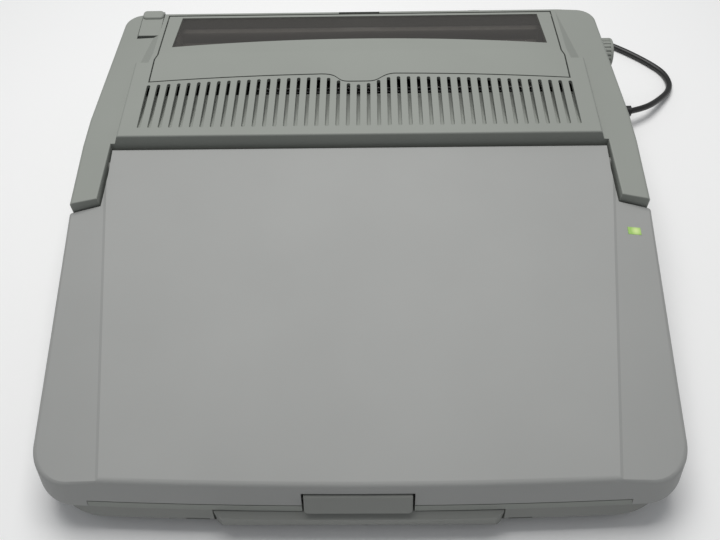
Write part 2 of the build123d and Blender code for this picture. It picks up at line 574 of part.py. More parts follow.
def lid_pieces():
    outside = lid_outside()
    outside = fillet(lid_rim(outside), LID_EDGE_R)
    for side in (1, -1):
        outside -= crease_band(side)
    outside -= slab(-REACH / 2, RIM_GAP)
    hollow = lid_outside(WALL, WALL / COS_S)
    hollow -= block(-REACH, REACH, HOLLOW_END_Y, REACH, -10, REACH)
    shell = outside - hollow
    for x, v in LID_SCREWS:
        shell += local_rod(4.0, x, v, BEZEL_LEVEL + BEZEL_T + PANEL_GAP, LID_THICK - 1.0) & outside
        shell -= local_rod(SCREW_R + SHAFT_GAP, x, v, 0, LID_THICK - WALL - 1)
    notch = block(-LATCH_HALF - LATCH_GAP, LATCH_HALF + LATCH_GAP, LIP_Y - 10,
                  LATCH_AXIS_Y + LATCH_PIN_R, 0, LATCH_TOP_Z + LATCH_GAP)
    lug_out = LATCH_HALF + LATCH_GAP + 3.0
    for side in (1, -1):
        lug = block(LATCH_HALF + LATCH_GAP, lug_out, front_face_y(LATCH_AXIS_Z) + 1.0,
                    LATCH_AXIS_Y + 3.0, LATCH_AXIS_Z - 3.0, CREASE_Z - 3.5) & outside
        shell += lug if side > 0 else mirror(lug, Plane.YZ)
    shell -= rod_x(LATCH_PIN_R + SHAFT_GAP, -lug_out - 1, lug_out + 1, LATCH_AXIS_Y,
                   LATCH_AXIS_Z)
    trim_zone = block(-TRIM_HALF, TRIM_HALF, LIP_Y - 10, LIP_Y + 14, 0, TRIM_TOP_Z)
    trim = (outside - hollow) & block(-TRIM_HALF + PANEL_GAP, TRIM_HALF - PANEL_GAP,
                                      LIP_Y - 10, LIP_Y + 14, 0, TRIM_TOP_Z - GROOVE)
    shell -= trim_zone
    shell -= notch
    trim -= notch
    shell -= block(LAMP_X - LAMP_SIZE[0] / 2 - 0.15, LAMP_X + LAMP_SIZE[0] / 2 + 0.15,
                   LAMP_Y - LAMP_SIZE[1] / 2 - 0.15, LAMP_Y + LAMP_SIZE[1] / 2 + 0.15, 60, 90)
    for pin in both_sides(rod_x(HINGE_PIN_R, LID_REAR_HALF - HINGE_PIN_IN, LID_REAR_HALF + 1,
                                HINGE_Y, HINGE_Z)):
        shell -= pin
    piece("lid_shell", shell)

    bezel = lid_outside(WALL + PANEL_GAP, 0) & slab(BEZEL_LEVEL, BEZEL_LEVEL + BEZEL_T)
    bezel -= block(-REACH, REACH, HOLLOW_END_Y - PANEL_GAP, REACH, -10, REACH)
    bezel -= local_block(-SCREEN_HALF, SCREEN_HALF, *SCREEN_V, 0, 20)
    latch_room = local_block(-lug_out - 2, lug_out + 2, -20, 11, 0, 30)
    bezel -= latch_room
    for x, v in LID_SCREWS:
        bezel -= local_rod(SCREW_R + 0.3, x, v, 0, 20)
        bezel -= local_rod(SCREW_HEAD_R + 0.3, x, v, 0, BEZEL_LEVEL + 0.9)
    rib = block(-TRIM_HALF + 8, TRIM_HALF - 8, LIP_Y + 5.6, LIP_Y + 8.4,
                TRIM_TOP_Z - 4, deck_z(LIP_Y + 6) + BEZEL_LEVEL + 2.0)
    low_rib = block(-TRIM_HALF + 8, TRIM_HALF - 8, LIP_Y, LIP_Y + 8.4, TRIM_TOP_Z - 4,
                    TRIM_TOP_Z - GROOVE)
    rib = (rib & lid_outside(WALL + PANEL_GAP, 0)) + (low_rib & lid_outside(WALL - 0.2, 0))
    bezel = bezel + trim + (rib - notch - latch_room)
    piece("lid_bezel", bezel)

    glass_level = SCREEN_LEVEL
    piece("display_glass", local_block(
        -SCREEN_HALF + 0.15, SCREEN_HALF - 0.15, SCREEN_V[0] + 0.15, SCREEN_V[1] - 0.15,
        glass_level, glass_level + GLASS_T))
    module_low = BEZEL_LEVEL + BEZEL_T + PANEL_GAP
    piece("display_module", local_block(
        -SCREEN_HALF - MODULE_MARGIN, SCREEN_HALF + MODULE_MARGIN,
        SCREEN_V[0] - MODULE_MARGIN, SCREEN_V[1] + MODULE_MARGIN - 4, module_low,
        module_low + MODULE_T))
    lamp = block(LAMP_X - LAMP_SIZE[0] / 2, LAMP_X + LAMP_SIZE[0] / 2,
                 LAMP_Y - LAMP_SIZE[1] / 2, LAMP_Y + LAMP_SIZE[1] / 2, 55, 90)
    lamp -= above(side_plane(1, BAND_STEP - 0.3, SHOULDER_FALL - BAND_RISE))
    low = side_plane(1, 4.5, SHOULDER_FALL)
    lamp -= Plane(origin=low.origin, x_dir=low.x_dir, z_dir=-low.z_dir) * Pos(
        0, 0, REACH / 2) * Box(REACH, REACH, REACH)
    piece("power_lamp", lamp)

    screws = []
    for x, v in LID_SCREWS:
        screw = local_rod(SCREW_R, x, v, BEZEL_LEVEL - 0.8, LID_THICK - WALL - 2)
        screw += local_rod(SCREW_HEAD_R, x, v, BEZEL_LEVEL - 0.8, BEZEL_LEVEL + 0.8)
        screws.append(screw)
    piece("lid_screws", *screws)
    piece("hinge_pins", *both_sides(rod_x(HINGE_PIN_R, LID_REAR_HALF - HINGE_PIN_IN,
                                          LID_REAR_HALF + HINGE_PIN_OUT, HINGE_Y, HINGE_Z)))


def latch_piece():
    top_y = front_face_y(LATCH_TOP_Z) - 1.2
    low_y = front_face_y(LATCH_LOW_Z) - LATCH_OUT
    plate = profile_x([(top_y, LATCH_TOP_Z), (low_y, LATCH_LOW_Z),
                       (low_y + LATCH_T, LATCH_LOW_Z), (top_y + LATCH_T, LATCH_TOP_Z)],
                      -LATCH_HALF, LATCH_HALF)
    corners = [e for e in plate.edges().filter_by(GeomType.LINE)
               if abs(abs(e.center().X) - LATCH_HALF) < 0.01
               and abs(e.center().Z - LATCH_LOW_Z) < 0.01]
    plate = fillet(corners, 2.6)
    rims = [e for e in plate.edges() if abs(e.center().Z - LATCH_TOP_Z) < 0.01
            and abs(e.center().Y - top_y) < 0.01]
    plate = fillet(rims, 1.0)
    arm = block(-LATCH_HALF + 2, LATCH_HALF - 2, top_y + LATCH_T - 1.2, LATCH_AXIS_Y,
                LATCH_AXIS_Z - 1.2, LATCH_AXIS_Z + 1.2)
    shaft = rod_x(LATCH_PIN_R, -LATCH_HALF - LATCH_GAP - 2.6, LATCH_HALF + LATCH_GAP + 2.6,
                  LATCH_AXIS_Y, LATCH_AXIS_Z)
    web = block(-FINGER_HALF, FINGER_HALF, LATCH_AXIS_Y, FINGER_Y + FINGER_T,
                LATCH_AXIS_Z - 1.2, LATCH_AXIS_Z + 1.2)
    finger = block(-FINGER_HALF, FINGER_HALF, FINGER_Y, FINGER_Y + FINGER_T, FINGER_LOW_Z,
                   LATCH_AXIS_Z + 1.2)
    piece("lid_latch", plate + arm + shaft + web + finger)


# ---- Rear case
def rear_form(inset=0.0, drop=0.0):
    """Outer form of the rear case, or its hollow when drawn in and lowered."""
    low_z = SPLIT_Z if not inset else SPLIT_Z - 5
    form = prism(rear_plan(inset), low_z, PLATEAU_Z + 5)
    form -= profile_x([(-60, PLATEAU_Z - drop), (FALL_Y, PLATEAU_Z - drop),
                       (REAR_Y + 20, top_z(REAR_Y + 20) - drop), (REAR_Y + 20, REACH),
                       (-60, REACH)], -REACH / 2, REACH / 2)
    raised = raised_section(inset) + cover_rim(inset, drop)
    for side in (1, -1):
        half = block(*sorted((0, side * REACH / 2)), -REACH / 2, REACH / 2, 0, REACH)
        for fall in (-CROWN_FRONT_FALL, CROWN_REAR_FALL):
            form -= (above(land_plane(side, fall, drop)) & half) - raised
    return form


def raised_section(inset):
    """Room of the raised section, with sloping sides and rear end."""
    depth = REACH / 2 + RAISED_END_Y - inset
    outline = Pos(0, RAISED_END_Y - inset - depth / 2, PLATEAU_Z + 1) * Rectangle(
        2 * (RAISED_HALF - inset), depth)
    draft = math.degrees(math.atan2(RAISED_DRAFT, PLATEAU_Z - land_z(RAISED_HALF, PLATEAU_Y)))
    return extrude(outline, 30, dir=(0, 0, -1), taper=-draft)


def cover_rim(inset, drop):
    """Room of the rim beside the printer cover, level with it, with sides that slope
    down to the case's lower top."""
    rim = block(-REAR_HALF, REAR_HALF, RAISED_END_Y - SIDE_LAND / 2, REAR_Y + 20, 0,
                PLATEAU_Z + 5)
    half = COVER_HALF + COVER_GAP + RIM_WIDTH - inset
    fall_x = math.tan(math.radians(RIM_FALL))
    fall_y = math.tan(COVER_FALL)
    for side in (1, -1):
        slope = Plane(origin=(side * half, FALL_Y, PLATEAU_Z - drop),
                      x_dir=(1, 0, -side * fall_x), z_dir=(side * fall_x, fall_y, 1))
        rim -= above(slope)
    return rim


def land_plane(side, fall, drop):
    """Top plane of the case beside the raised section; fall is its fall to the rear."""
    slope_x = -side * math.tan(math.radians(CROWN_FALL))
    slope_y = -math.tan(math.radians(fall))
    normal = Vector(-slope_x, -slope_y, 1).normalized()
    return Plane(origin=(side * RAISED_HALF, CROWN_Y, CROWN_Z - drop), x_dir=(1, 0, slope_x),
                 z_dir=tuple(normal))


def rear_case_piece():
    outside = rear_form()
    outside = soften(outside, outer_edges, (CASE_EDGE_R, CASE_EDGE_R / 2))
    outside = soften(outside, raised_edges, (RAISED_EDGE_R, RAISED_EDGE_R / 2))
    outside = soften(outside, arm_edges, (ARM_EDGE_R, ARM_EDGE_R / 2))
    case = outside - rear_form(WALL, WALL)
    below_deck = block(-REAR_HALF + WALL, REAR_HALF - WALL, ARM_END_OUT_Y - 5,
                       PLATEAU_Y + WALL + 2, 0, DRIVE_LOW + DRIVE_HEIGHT + 1.5)
    case -= below_deck
    case -= prism(cover_plan(COVER_GAP), PLATEAU_Z - 12, PLATEAU_Z + 5)
    lugs, bores = printer_lugs()
    case += lugs
    case -= bores
    case -= vent_slots()
    case += slot_tray()
    case -= block(RELEASE_X[0] - 0.8, RELEASE_X[1] + 0.8, RELEASE_Y - 5, REAR_Y + 5,
                  RELEASE_Z - 3, PLATEAU_Z + 5)
    for lug_x in ((RELEASE_X[0] - 4.6, RELEASE_X[0] - 0.8), (RELEASE_X[1] + 0.8,
                                                            RELEASE_X[1] + 3.4)):
        case += block(*lug_x, RELEASE_Y - 4, RELEASE_Y + 4, RELEASE_Z - 4,
                      land_z(RELEASE_X[0], RELEASE_Y) - WALL / 2)
    case -= rod_x(2.0 + SHAFT_GAP, RELEASE_X[0] - 3.6, RELEASE_X[1] + 3.0, RELEASE_Y, RELEASE_Z)
    case -= rod_x(PLATEN_SHAFT_R + FREE_GAP, side_x(PLATEN_Y) - 8, REAR_HALF, PLATEN_Y,
                  PLATEN_Z)
    for hole in both_sides(rod_x(HINGE_PIN_R + FREE_GAP, LID_REAR_HALF, LID_REAR_HALF + 7,
                                 HINGE_Y, HINGE_Z)):
        case -= hole
    case -= block(REAR_HALF - 6, REAR_HALF + 5, DRIVE_FRONT_Y - PANEL_GAP,
                  DRIVE_FRONT_Y + DRIVE_WIDTH + PANEL_GAP, DRIVE_LOW - PANEL_GAP,
                  DRIVE_LOW + DRIVE_HEIGHT + PANEL_GAP)
    case -= block(side_x(SWITCH_Y) - 6, REAR_HALF, SWITCH_Y - 4 - FREE_GAP,
                  SWITCH_Y + 4 + SWITCH_TRAVEL + FREE_GAP, SWITCH_Z - 2 - FREE_GAP,
                  SWITCH_Z + 2 + FREE_GAP)
    case -= block(-CATCH_HALF, CATCH_HALF, COVER_REAR_Y + COVER_GAP - 1, REAR_Y - CATCH_LIP,
                  top_z(REAR_Y) - CATCH_DEPTH, PLATEAU_Z + 5)
    for x, y in CASE_SCREWS:
        wall_x = math.copysign(side_x(y) - WALL / 2, x)
        case += rod_z(4.5, SPLIT_Z, CASE_SCREW_TOP, x, y)
        case += block(*sorted((x, wall_x)), y - 1.5, y + 1.5, SPLIT_Z, CASE_SCREW_TOP)
        case -= rod_z(SCREW_R + SHAFT_GAP, 0, CASE_SCREW_TOP - 3, x, y)
    piece("rear_case", case)


def outer_edges(form):
    """Top edges of the rear case along its sides."""
    return [e for e in form.edges()
            if abs(abs(e.center().X) - side_x(e.center().Y)) < 1.5
            and abs(e.center().Z - land_z(e.center().X, e.center().Y)) < 1.0
            and ARM_END_IN_Y < e.center().Y < REAR_Y - REAR_CORNER_R]


def raised_edges(form):
    """Top edges of the raised section at its front wall and sides."""
    return [e for e in form.edges()
            if abs(e.center().Z - PLATEAU_Z) < 0.01 and e.center().Y < RAISED_END_Y - 1]


def arm_edges(form):
    """Top edges of the arms beside the lid and at their front ends."""
    return [e for e in form.edges()
            if LID_REAR_HALF < abs(e.center().X) < REAR_HALF - CASE_EDGE_R - 0.5
            and abs(e.center().Z - land_z(e.center().X, e.center().Y)) < 1.0
            and ARM_END_OUT_Y < e.center().Y < PLATEAU_Y - 5 and e.length > ARM_WIDTH / 2]


def soften(form, chosen, radii):
    """Fillet the chosen edges with the largest of the given radii that the form takes."""
    for radius in radii:
        try:
            return fillet(chosen(form), radius)
        except ValueError:
            continue
    print("not rounded:", chosen.__name__)
    return form


def vent_slots():
    """Row of vent slots in the raised section, with round ends."""
    slots = []
    for i in range(SLOT_COUNT):
        x = (i - (SLOT_COUNT - 1) / 2) * SLOT_PITCH
        rear = cover_edge_y(x) - SLOT_MARGIN
        half = SLOT_WIDTH / 2
        slot = block(x - half, x + half, SLOT_FRONT_Y + half, rear - half, PLATEAU_Z - 8,
                     PLATEAU_Z + 3)
        slot += rod_z(half, PLATEAU_Z - 8, PLATEAU_Z + 3, x, SLOT_FRONT_Y + half)
        slot += rod_z(half, PLATEAU_Z - 8, PLATEAU_Z + 3, x, rear - half)
        slots.append(slot)
    return slots


def slot_tray():
    """Sloping tray under the vent slots, which keeps what falls in off the works."""
    front_y, front_z = SLOT_FRONT_Y - SLOT_TRAY_T, PLATEAU_Z - WALL
    rear_y, rear_z = TONGUE_TIP_Y - SLOT_MARGIN, PLATEAU_Z - SLOT_TRAY_DROP
    half = RAISED_HALF - WALL / 2
    return profile_x([(front_y, front_z + WALL / 2), (rear_y, rear_z),
                      (rear_y, rear_z - SLOT_TRAY_T), (front_y, front_z - SLOT_TRAY_T)],
                     -half, half)


def printer_lugs():
    """Lugs under the case's top skin that carry the printer cover's pins."""
    inner = COVER_REAR_HALF + COVER_GAP
    lug = block(inner, inner + 4, COVER_AXIS_Y - 4, COVER_REAR_Y + COVER_GAP + 1,
                COVER_AXIS_Z - 4, COVER_AXIS_Z + COVER_T - WALL + 0.8)
    bore = rod_x(COVER_PIN_R + SHAFT_GAP, inner - 1, inner + 3.4, COVER_AXIS_Y, COVER_AXIS_Z)
    return both_sides(lug), both_sides(bore)


def cover_rear_edge(form):
    """Top rear edge of the printer cover."""
    rear = [e for e in form.edges().filter_by(Axis.X)
            if abs(e.center().Y - COVER_REAR_Y) < 0.1 and e.length > COVER_HALF]
    return sorted(rear, key=lambda e: e.center().Z)[-1:]


def cover_pieces():
    band = profile_x([(60, PLATEAU_Z), (FALL_Y, PLATEAU_Z), (REAR_Y, top_z(REAR_Y)),
                      (REAR_Y, top_z(REAR_Y) - COVER_T), (FALL_Y, PLATEAU_Z - COVER_T),
                      (60, PLATEAU_Z - COVER_T)], -REACH / 4, REACH / 4)
    cover = prism(cover_plan(0), PLATEAU_Z - 20, PLATEAU_Z + 5) & band
    cover = soften(cover, cover_rear_edge, (COVER_EDGE_R, COVER_EDGE_R / 2))
    cover -= prism(window_plan(0), PLATEAU_Z - 20, PLATEAU_Z + 5)
    skirt_low = land_z(COVER_HALF, REAR_Y) - COVER_T
    skirt = prism(cover_plan(0), skirt_low, PLATEAU_Z) & profile_x(
        [(RAISED_END_Y - COVER_T, skirt_low), (COVER_AXIS_Y - 5, skirt_low),
         (COVER_AXIS_Y - 5, top_z(COVER_AXIS_Y) - 1), (FALL_Y, PLATEAU_Z - 1),
         (RAISED_END_Y - COVER_T, PLATEAU_Z - 1)], COVER_REAR_HALF - SKIRT_T, COVER_HALF)
    cover += both_sides(skirt)
    for ear in both_sides(
            block(COVER_REAR_HALF - 4, COVER_REAR_HALF - 0.4, COVER_AXIS_Y - 2.4,
                  COVER_AXIS_Y + 1.8, COVER_AXIS_Z - 2.4, COVER_AXIS_Z + 0.6)
            + rod_x(COVER_PIN_R, COVER_REAR_HALF - 4, COVER_REAR_HALF + COVER_GAP + 3,
                    COVER_AXIS_Y, COVER_AXIS_Z)):
        cover += ear
    piece("printer_cover", cover)
    pane_band = profile_x([(FALL_Y, PLATEAU_Z - 0.4), (REAR_Y, top_z(REAR_Y) - 0.4),
                           (REAR_Y, top_z(REAR_Y) - 0.4 - WINDOW_T),
                           (FALL_Y, PLATEAU_Z - 0.4 - WINDOW_T)], -REACH / 4, REACH / 4)
    piece("cover_window", prism(window_plan(0.15), PLATEAU_Z - 20, PLATEAU_Z + 5) & pane_band)


def release_piece():
    inner, outer = RELEASE_X
    tab_top = land_z(sum(RELEASE_X) / 2, RELEASE_Y + 12) + 0.4
    lever = block(inner, outer, RELEASE_Y - 2, REAR_Y + 1.2, tab_top - 3.4, tab_top)
    thumb = block(inner, outer, REAR_Y - 8.5, REAR_Y + 1.2, tab_top - 3.4,
                  tab_top + THUMB_RISE)
    thumb = fillet(thumb.edges().filter_by(Axis.Z), THUMB_CORNER_R)
    thumb = fillet(thumb.faces().sort_by(Axis.Z)[-1].edges(), THUMB_RISE - 0.2)
    lever = lever + thumb + block(inner + 3, outer - 3, RELEASE_Y - 2, RELEASE_Y + 3,
                                  RELEASE_Z, tab_top - 1)
    lever += rod_x(2.0, inner - 3.4, outer + 2.8, RELEASE_Y, RELEASE_Z)
    lever += block(inner + 6, outer - 6, RELEASE_Y - 2, RELEASE_Y + 2, RELEASE_Z - 12, RELEASE_Z)
    piece("release_lever", lever)


# ---- Base tray, handle and feet


def board_posts(box):
    x0, x1, y0, y1 = box
    return [(x, y) for x in (x0 + 5, x1 - 5) for y in (y0 + 5, y1 - 5)]


def tray_front_y(x, z):
    """Y of the base tray's front face at x, below its ridge."""
    bow = BOW * (x / (LID_FRONT_HALF - 2.5)) ** 2
    return LIP_Y - RIDGE_OUT + bow + (RIDGE_Z - z) * math.tan(math.radians(TRAY_TUCK))


def tray_outside():
    """Outer form of the base tray: a ridged tub whose side walls rise to the hinge."""
    tuck = math.degrees(math.atan2(RIDGE_OUT, TRAY_TOP - RIDGE_Z))
    low = extrude(Pos(0, 0, RIDGE_Z) * tray_plan(0), RIDGE_Z - BASE_Z, dir=(0, 0, -1),
                  taper=TRAY_TUCK)
    mid = extrude(Pos(0, 0, RIDGE_Z) * tray_plan(0), TRAY_TOP - RIDGE_Z, taper=tuck)
    wedge = prism(tray_plan(RIDGE_OUT), TRAY_TOP, 80)
    wedge -= block(-REACH, REACH, ARM_END_OUT_Y - PANEL_GAP, REACH, 0, REACH)
    return (low + mid + wedge) - slab(0, REACH / 2)


def tray_piece():
    outside = tray_outside()
    tray = outside - prism(tray_plan(RIDGE_OUT + WALL), FLOOR_Z, 90)
    cheek = HANDLE_HALF + HANDLE_GAP
    tray += outside & block(-cheek - WALL, cheek + WALL, -REACH, HANDLE_WALL_Y + WALL,
                            BASE_Z, 60)
    tray -= block(-cheek, cheek, -REACH, HANDLE_WALL_Y, 0, 60)
    for side in (1, -1):
        arm_x = side * (HANDLE_HALF - ARM_BAR_W)
        tray -= block(arm_x - ARM_BAR_W / 2 - 0.4, arm_x + ARM_BAR_W / 2 + 0.4,
                      HANDLE_WALL_Y - 1, HANDLE_WALL_Y + WALL + 1, FLOOR_Z, FLOOR_Z + ARM_BAR_T
                      + 0.8)
        for rib_x in (arm_x - ARM_BAR_W / 2 - 0.4 - 2, arm_x + ARM_BAR_W / 2 + 0.4):
            tray += block(rib_x, rib_x + 2, HANDLE_WALL_Y + WALL, HANDLE_WALL_Y + ARM_BAR_L,
                          FLOOR_Z, FLOOR_Z + ARM_BAR_T)
    tray -= block(-FINGER_HALF - 2, FINGER_HALF + 2, HANDLE_WALL_Y - 1,
                  HANDLE_WALL_Y + WALL + 1, FINGER_LOW_Z - 1.5, 60)
    for x, y in DECK_SCREWS:
        tray += rod_z(4.5, FLOOR_Z, deck_z(y) - DECK_T / COS_S - 1.2, x, y)
    for x, y in CASE_SCREWS:
        tray += rod_z(4.5, FLOOR_Z, TRAY_TOP, x, y)
    for x, y in DECK_SCREWS + CASE_SCREWS:
        tray -= rod_z(SCREW_R + SHAFT_GAP, 0, 80, x, y)
        tray -= rod_z(SCREW_HEAD_R + 0.4, 0, FLOOR_Z + 2.0, x, y)
    for x, y in DRIVE_POSTS:
        tray += rod_z(4.0, FLOOR_Z, DRIVE_LOW, x, y)
    for x, y in board_posts(BOARD_BOX) + board_posts(POWER_BOX):
        tray += rod_z(3.0, FLOOR_Z, BOARD_Z, x, y)
    for x, y in PAN_POSTS:
        tray += rod_z(4.0, FLOOR_Z, PAN_Z, x, y)
    tray -= block(side_x(INLET_Y) - 20, REAR_HALF + 10, INLET_Y - 10.2, INLET_Y + 10.2,
                  INLET_Z - 6.2, INLET_Z + 6.2)
    face_y = tray_front_y(DIAL_X, DIAL_Z)
    dial_slot = DIAL_HALF + DIAL_TRAVEL + 0.5
    tray -= block(DIAL_X - dial_slot, DIAL_X + dial_slot, face_y - 5, face_y + 12,
                  DIAL_Z - 2.3, DIAL_Z + 2.3)
    for side in (1, -1):
        groove_y = LIP_Y - RIDGE_OUT + BOW * ((HANDLE_HALF + 9) / LID_FRONT_HALF) ** 2
        tray -= block(*sorted((side * (cheek + 2.5), side * (cheek + 17))), groove_y - 3,
                      groove_y + 0.9, RIDGE_Z - 0.2, RIDGE_Z + 0.9)
    piece("base_tray", tray)
    piece("rubber_feet", *[rod_z(FOOT_R, 0, BASE_Z, x, y) for x, y in FEET])
    screws = []
    for x, y in DECK_SCREWS + CASE_SCREWS:
        top = CASE_SCREW_TOP - 6 if (x, y) in CASE_SCREWS else deck_z(y) - 3.5
        screws.append(rod_z(SCREW_R, FLOOR_Z + 0.2, top, x, y)
                      + rod_z(SCREW_HEAD_R, FLOOR_Z + 0.2, FLOOR_Z + 1.9, x, y))
    piece("base_screws", *screws)


def handle_pieces():
    end_y = LIP_Y - RIDGE_OUT - 1.0
    rear_y = GRIP_FRONT_Y + GRIP_DEPTH
    front = ThreePointArc((-HANDLE_HALF + 4.5, end_y), (0, GRIP_FRONT_Y),
                          (HANDLE_HALF - 4.5, end_y))
    rest = Polyline((HANDLE_HALF - 4.5, end_y), (HANDLE_HALF, end_y + 3.6),
                    (HANDLE_HALF, rear_y), (-HANDLE_HALF, rear_y), (-HANDLE_HALF, end_y + 3.6),
                    (-HANDLE_HALF + 4.5, end_y))
    section = profile_x([(rear_y + 1, TRAY_TOP), (LIP_Y, TRAY_TOP), (GRIP_FRONT_Y, TRAY_TOP - 2.6),
                         (GRIP_FRONT_Y - 1, TRAY_TOP - 6), (GRIP_FRONT_Y + 2.6, HANDLE_LOW_Z),
                         (rear_y + 1, HANDLE_LOW_Z)], -HANDLE_HALF, HANDLE_HALF)
    grip = prism(make_face(front + rest), HANDLE_LOW_Z, TRAY_TOP) & section
    piece("handle_grip", grip)
    bars = [block(side * (HANDLE_HALF - ARM_BAR_W) - ARM_BAR_W / 2,
                  side * (HANDLE_HALF - ARM_BAR_W) + ARM_BAR_W / 2,
                  rear_y, rear_y + ARM_BAR_L, FLOOR_Z + 0.4, FLOOR_Z + 0.4 + ARM_BAR_T)
            for side in (1, -1)]
    piece("handle_arms", *bars)


def slider_piece():
    face_y = tray_front_y(DIAL_X, DIAL_Z)
    inner_y = LIP_Y + BOW * (DIAL_X / LID_FRONT_HALF) ** 2 + WALL + 0.9
    knob = block(DIAL_X - DIAL_HALF, DIAL_X + DIAL_HALF, face_y + 0.4, inner_y + 1,
                 DIAL_Z - 1.9, DIAL_Z + 1.9)
    back = block(DIAL_X - 13, DIAL_X + 13, inner_y, inner_y + 1.6, FLOOR_Z + 0.3, DIAL_Z + 6)
    piece("contrast_slider", knob + back)


# ---- Keyboard deck and keys


def key_places():
    """Each key row as a list of (x, v, width, depth)."""
    rows = {}
    for name, units in ROW_UNITS.items():
        x = -ROW_SPAN * KEY_PITCH / 2
        keys = []
        for unit in units:
            width = (unit or SPACE_UNITS) * KEY_PITCH
            if unit is None:
                rows["space_bar"] = [(x + width / 2, ROW_V[name], width, KEY_PITCH)]
            else:
                keys.append((x + width / 2, ROW_V[name], width, KEY_PITCH))
            x += width
        rows[name] = keys
    keys = []
    x = -ROW_SPAN * KEY_PITCH / 2
    for i in range(12):
        width = FUNCTION_UNIT * KEY_PITCH
        keys.append((x + width / 2, FUNCTION_V, width, FUNCTION_DEPTH + KEY_PITCH - KEY_BASE))
        x += width + (KEY_PITCH / 2 if i in (3, 7) else 0)
    rows["function_keys"] = keys
    return rows


def key_cap(x, v, width, depth):
    gap = KEY_PITCH - KEY_BASE
    cap = extrude(Pos(x, v, KEY_SKIRT) * Rectangle(width - gap, depth - gap),
                  KEY_TOP - KEY_SKIRT, taper=KEY_TAPER)
    cap += block(x - STEM / 2, x + STEM / 2, v - STEM / 2, v + STEM / 2,
                 CHIMNEY_TOP - 1.6, KEY_SKIRT)
    return DECK * cap


def keyboard_pieces():
    rows = key_places()
    for name, keys in rows.items():
        piece(name, *[key_cap(*key) for key in keys])
    half_x, v0, v1 = FRAME_BOX
    frame = block(-half_x, half_x, v0, v1, FRAME_LOW, FRAME_TOP)
    chimneys = []
    holes = []
    for keys in rows.values():
        for x, v, width, depth in keys:
            half = CHIMNEY / 2
            chimneys.append(block(x - half, x + half, v - half, v + half, FRAME_LOW,
                                  CHIMNEY_TOP))
            hole = STEM / 2 + 0.3
            holes.append(block(x - hole, x + hole, v - hole, v + hole, FRAME_LOW - 1,
                               CHIMNEY_TOP + 1))
    frame += chimneys
    frame -= holes
    piece("key_frame", DECK * frame)
    piece("key_backplate", DECK * block(-half_x, half_x, v0, v1, FRAME_LOW - BACKPLATE_T,
                                        FRAME_LOW))
    deck = prism(tray_plan(RIDGE_OUT + WALL + PANEL_GAP), 0, 100) & slab(-DECK_T, 0)
    deck -= prism(offset(rear_plan(0), PANEL_GAP, kind=Kind.INTERSECTION), 0, 110)
    deck -= block(-REACH, REACH, PLATEAU_Y - PANEL_GAP, REACH, 0, REACH)
    cheek = HANDLE_HALF + HANDLE_GAP + WALL + PANEL_GAP
    deck -= block(-cheek, cheek, -REACH, HANDLE_WALL_Y + WALL + PANEL_GAP, 0, 60)
    deck -= block(-FINGER_HALF - 2, FINGER_HALF + 2, -REACH, FINGER_Y + FINGER_T + 2.0, 0, 60)
    deck -= local_block(-WINDOW_X, WINDOW_X, *WINDOW_V, -5, 5)
    for x in (-half_x + 3, half_x - 3):
        for v in (v0 + 4, (v0 + v1) / 2, v1 - 4):
            deck += local_rod(2.6, x, v, FRAME_TOP, -DECK_T)
    for x, y in DECK_SCREWS:
        deck -= rod_z(SCREW_R + SHAFT_GAP, 0, deck_z(y) - 0.9, x, y)
    piece("keyboard_deck", deck)


# ---- Printer
def gear(teeth, phase=0.0):
    """Spur gear outline: straight-flanked teeth with running room at their flanks."""
    pitch_r = GEAR_MODULE * teeth / 2
    tip_r = pitch_r + 0.9 * GEAR_MODULE
    root_r = pitch_r - 1.2 * GEAR_MODULE
    points = []
    step = 2 * math.pi / teeth
    for i in range(teeth):
        middle = i * step + phase
        for radius, share in ((root_r, -0.30), (tip_r, -0.12), (tip_r, 0.12), (root_r, 0.30)):
            angle = middle + share * step
            points.append((radius * math.cos(angle), radius * math.sin(angle)))
    return make_face(Polyline(*points, close=True))


def gear_at(teeth, x, y, z, phase):
    """Spur gear with its axis along X; phase is the angle of a tooth from +Y to +Z."""
    disc = extrude(gear(teeth, phase), GEAR_WIDTH)
    return Plane(origin=(x, y, z), x_dir=(0, 1, 0), z_dir=(1, 0, 0)) * disc


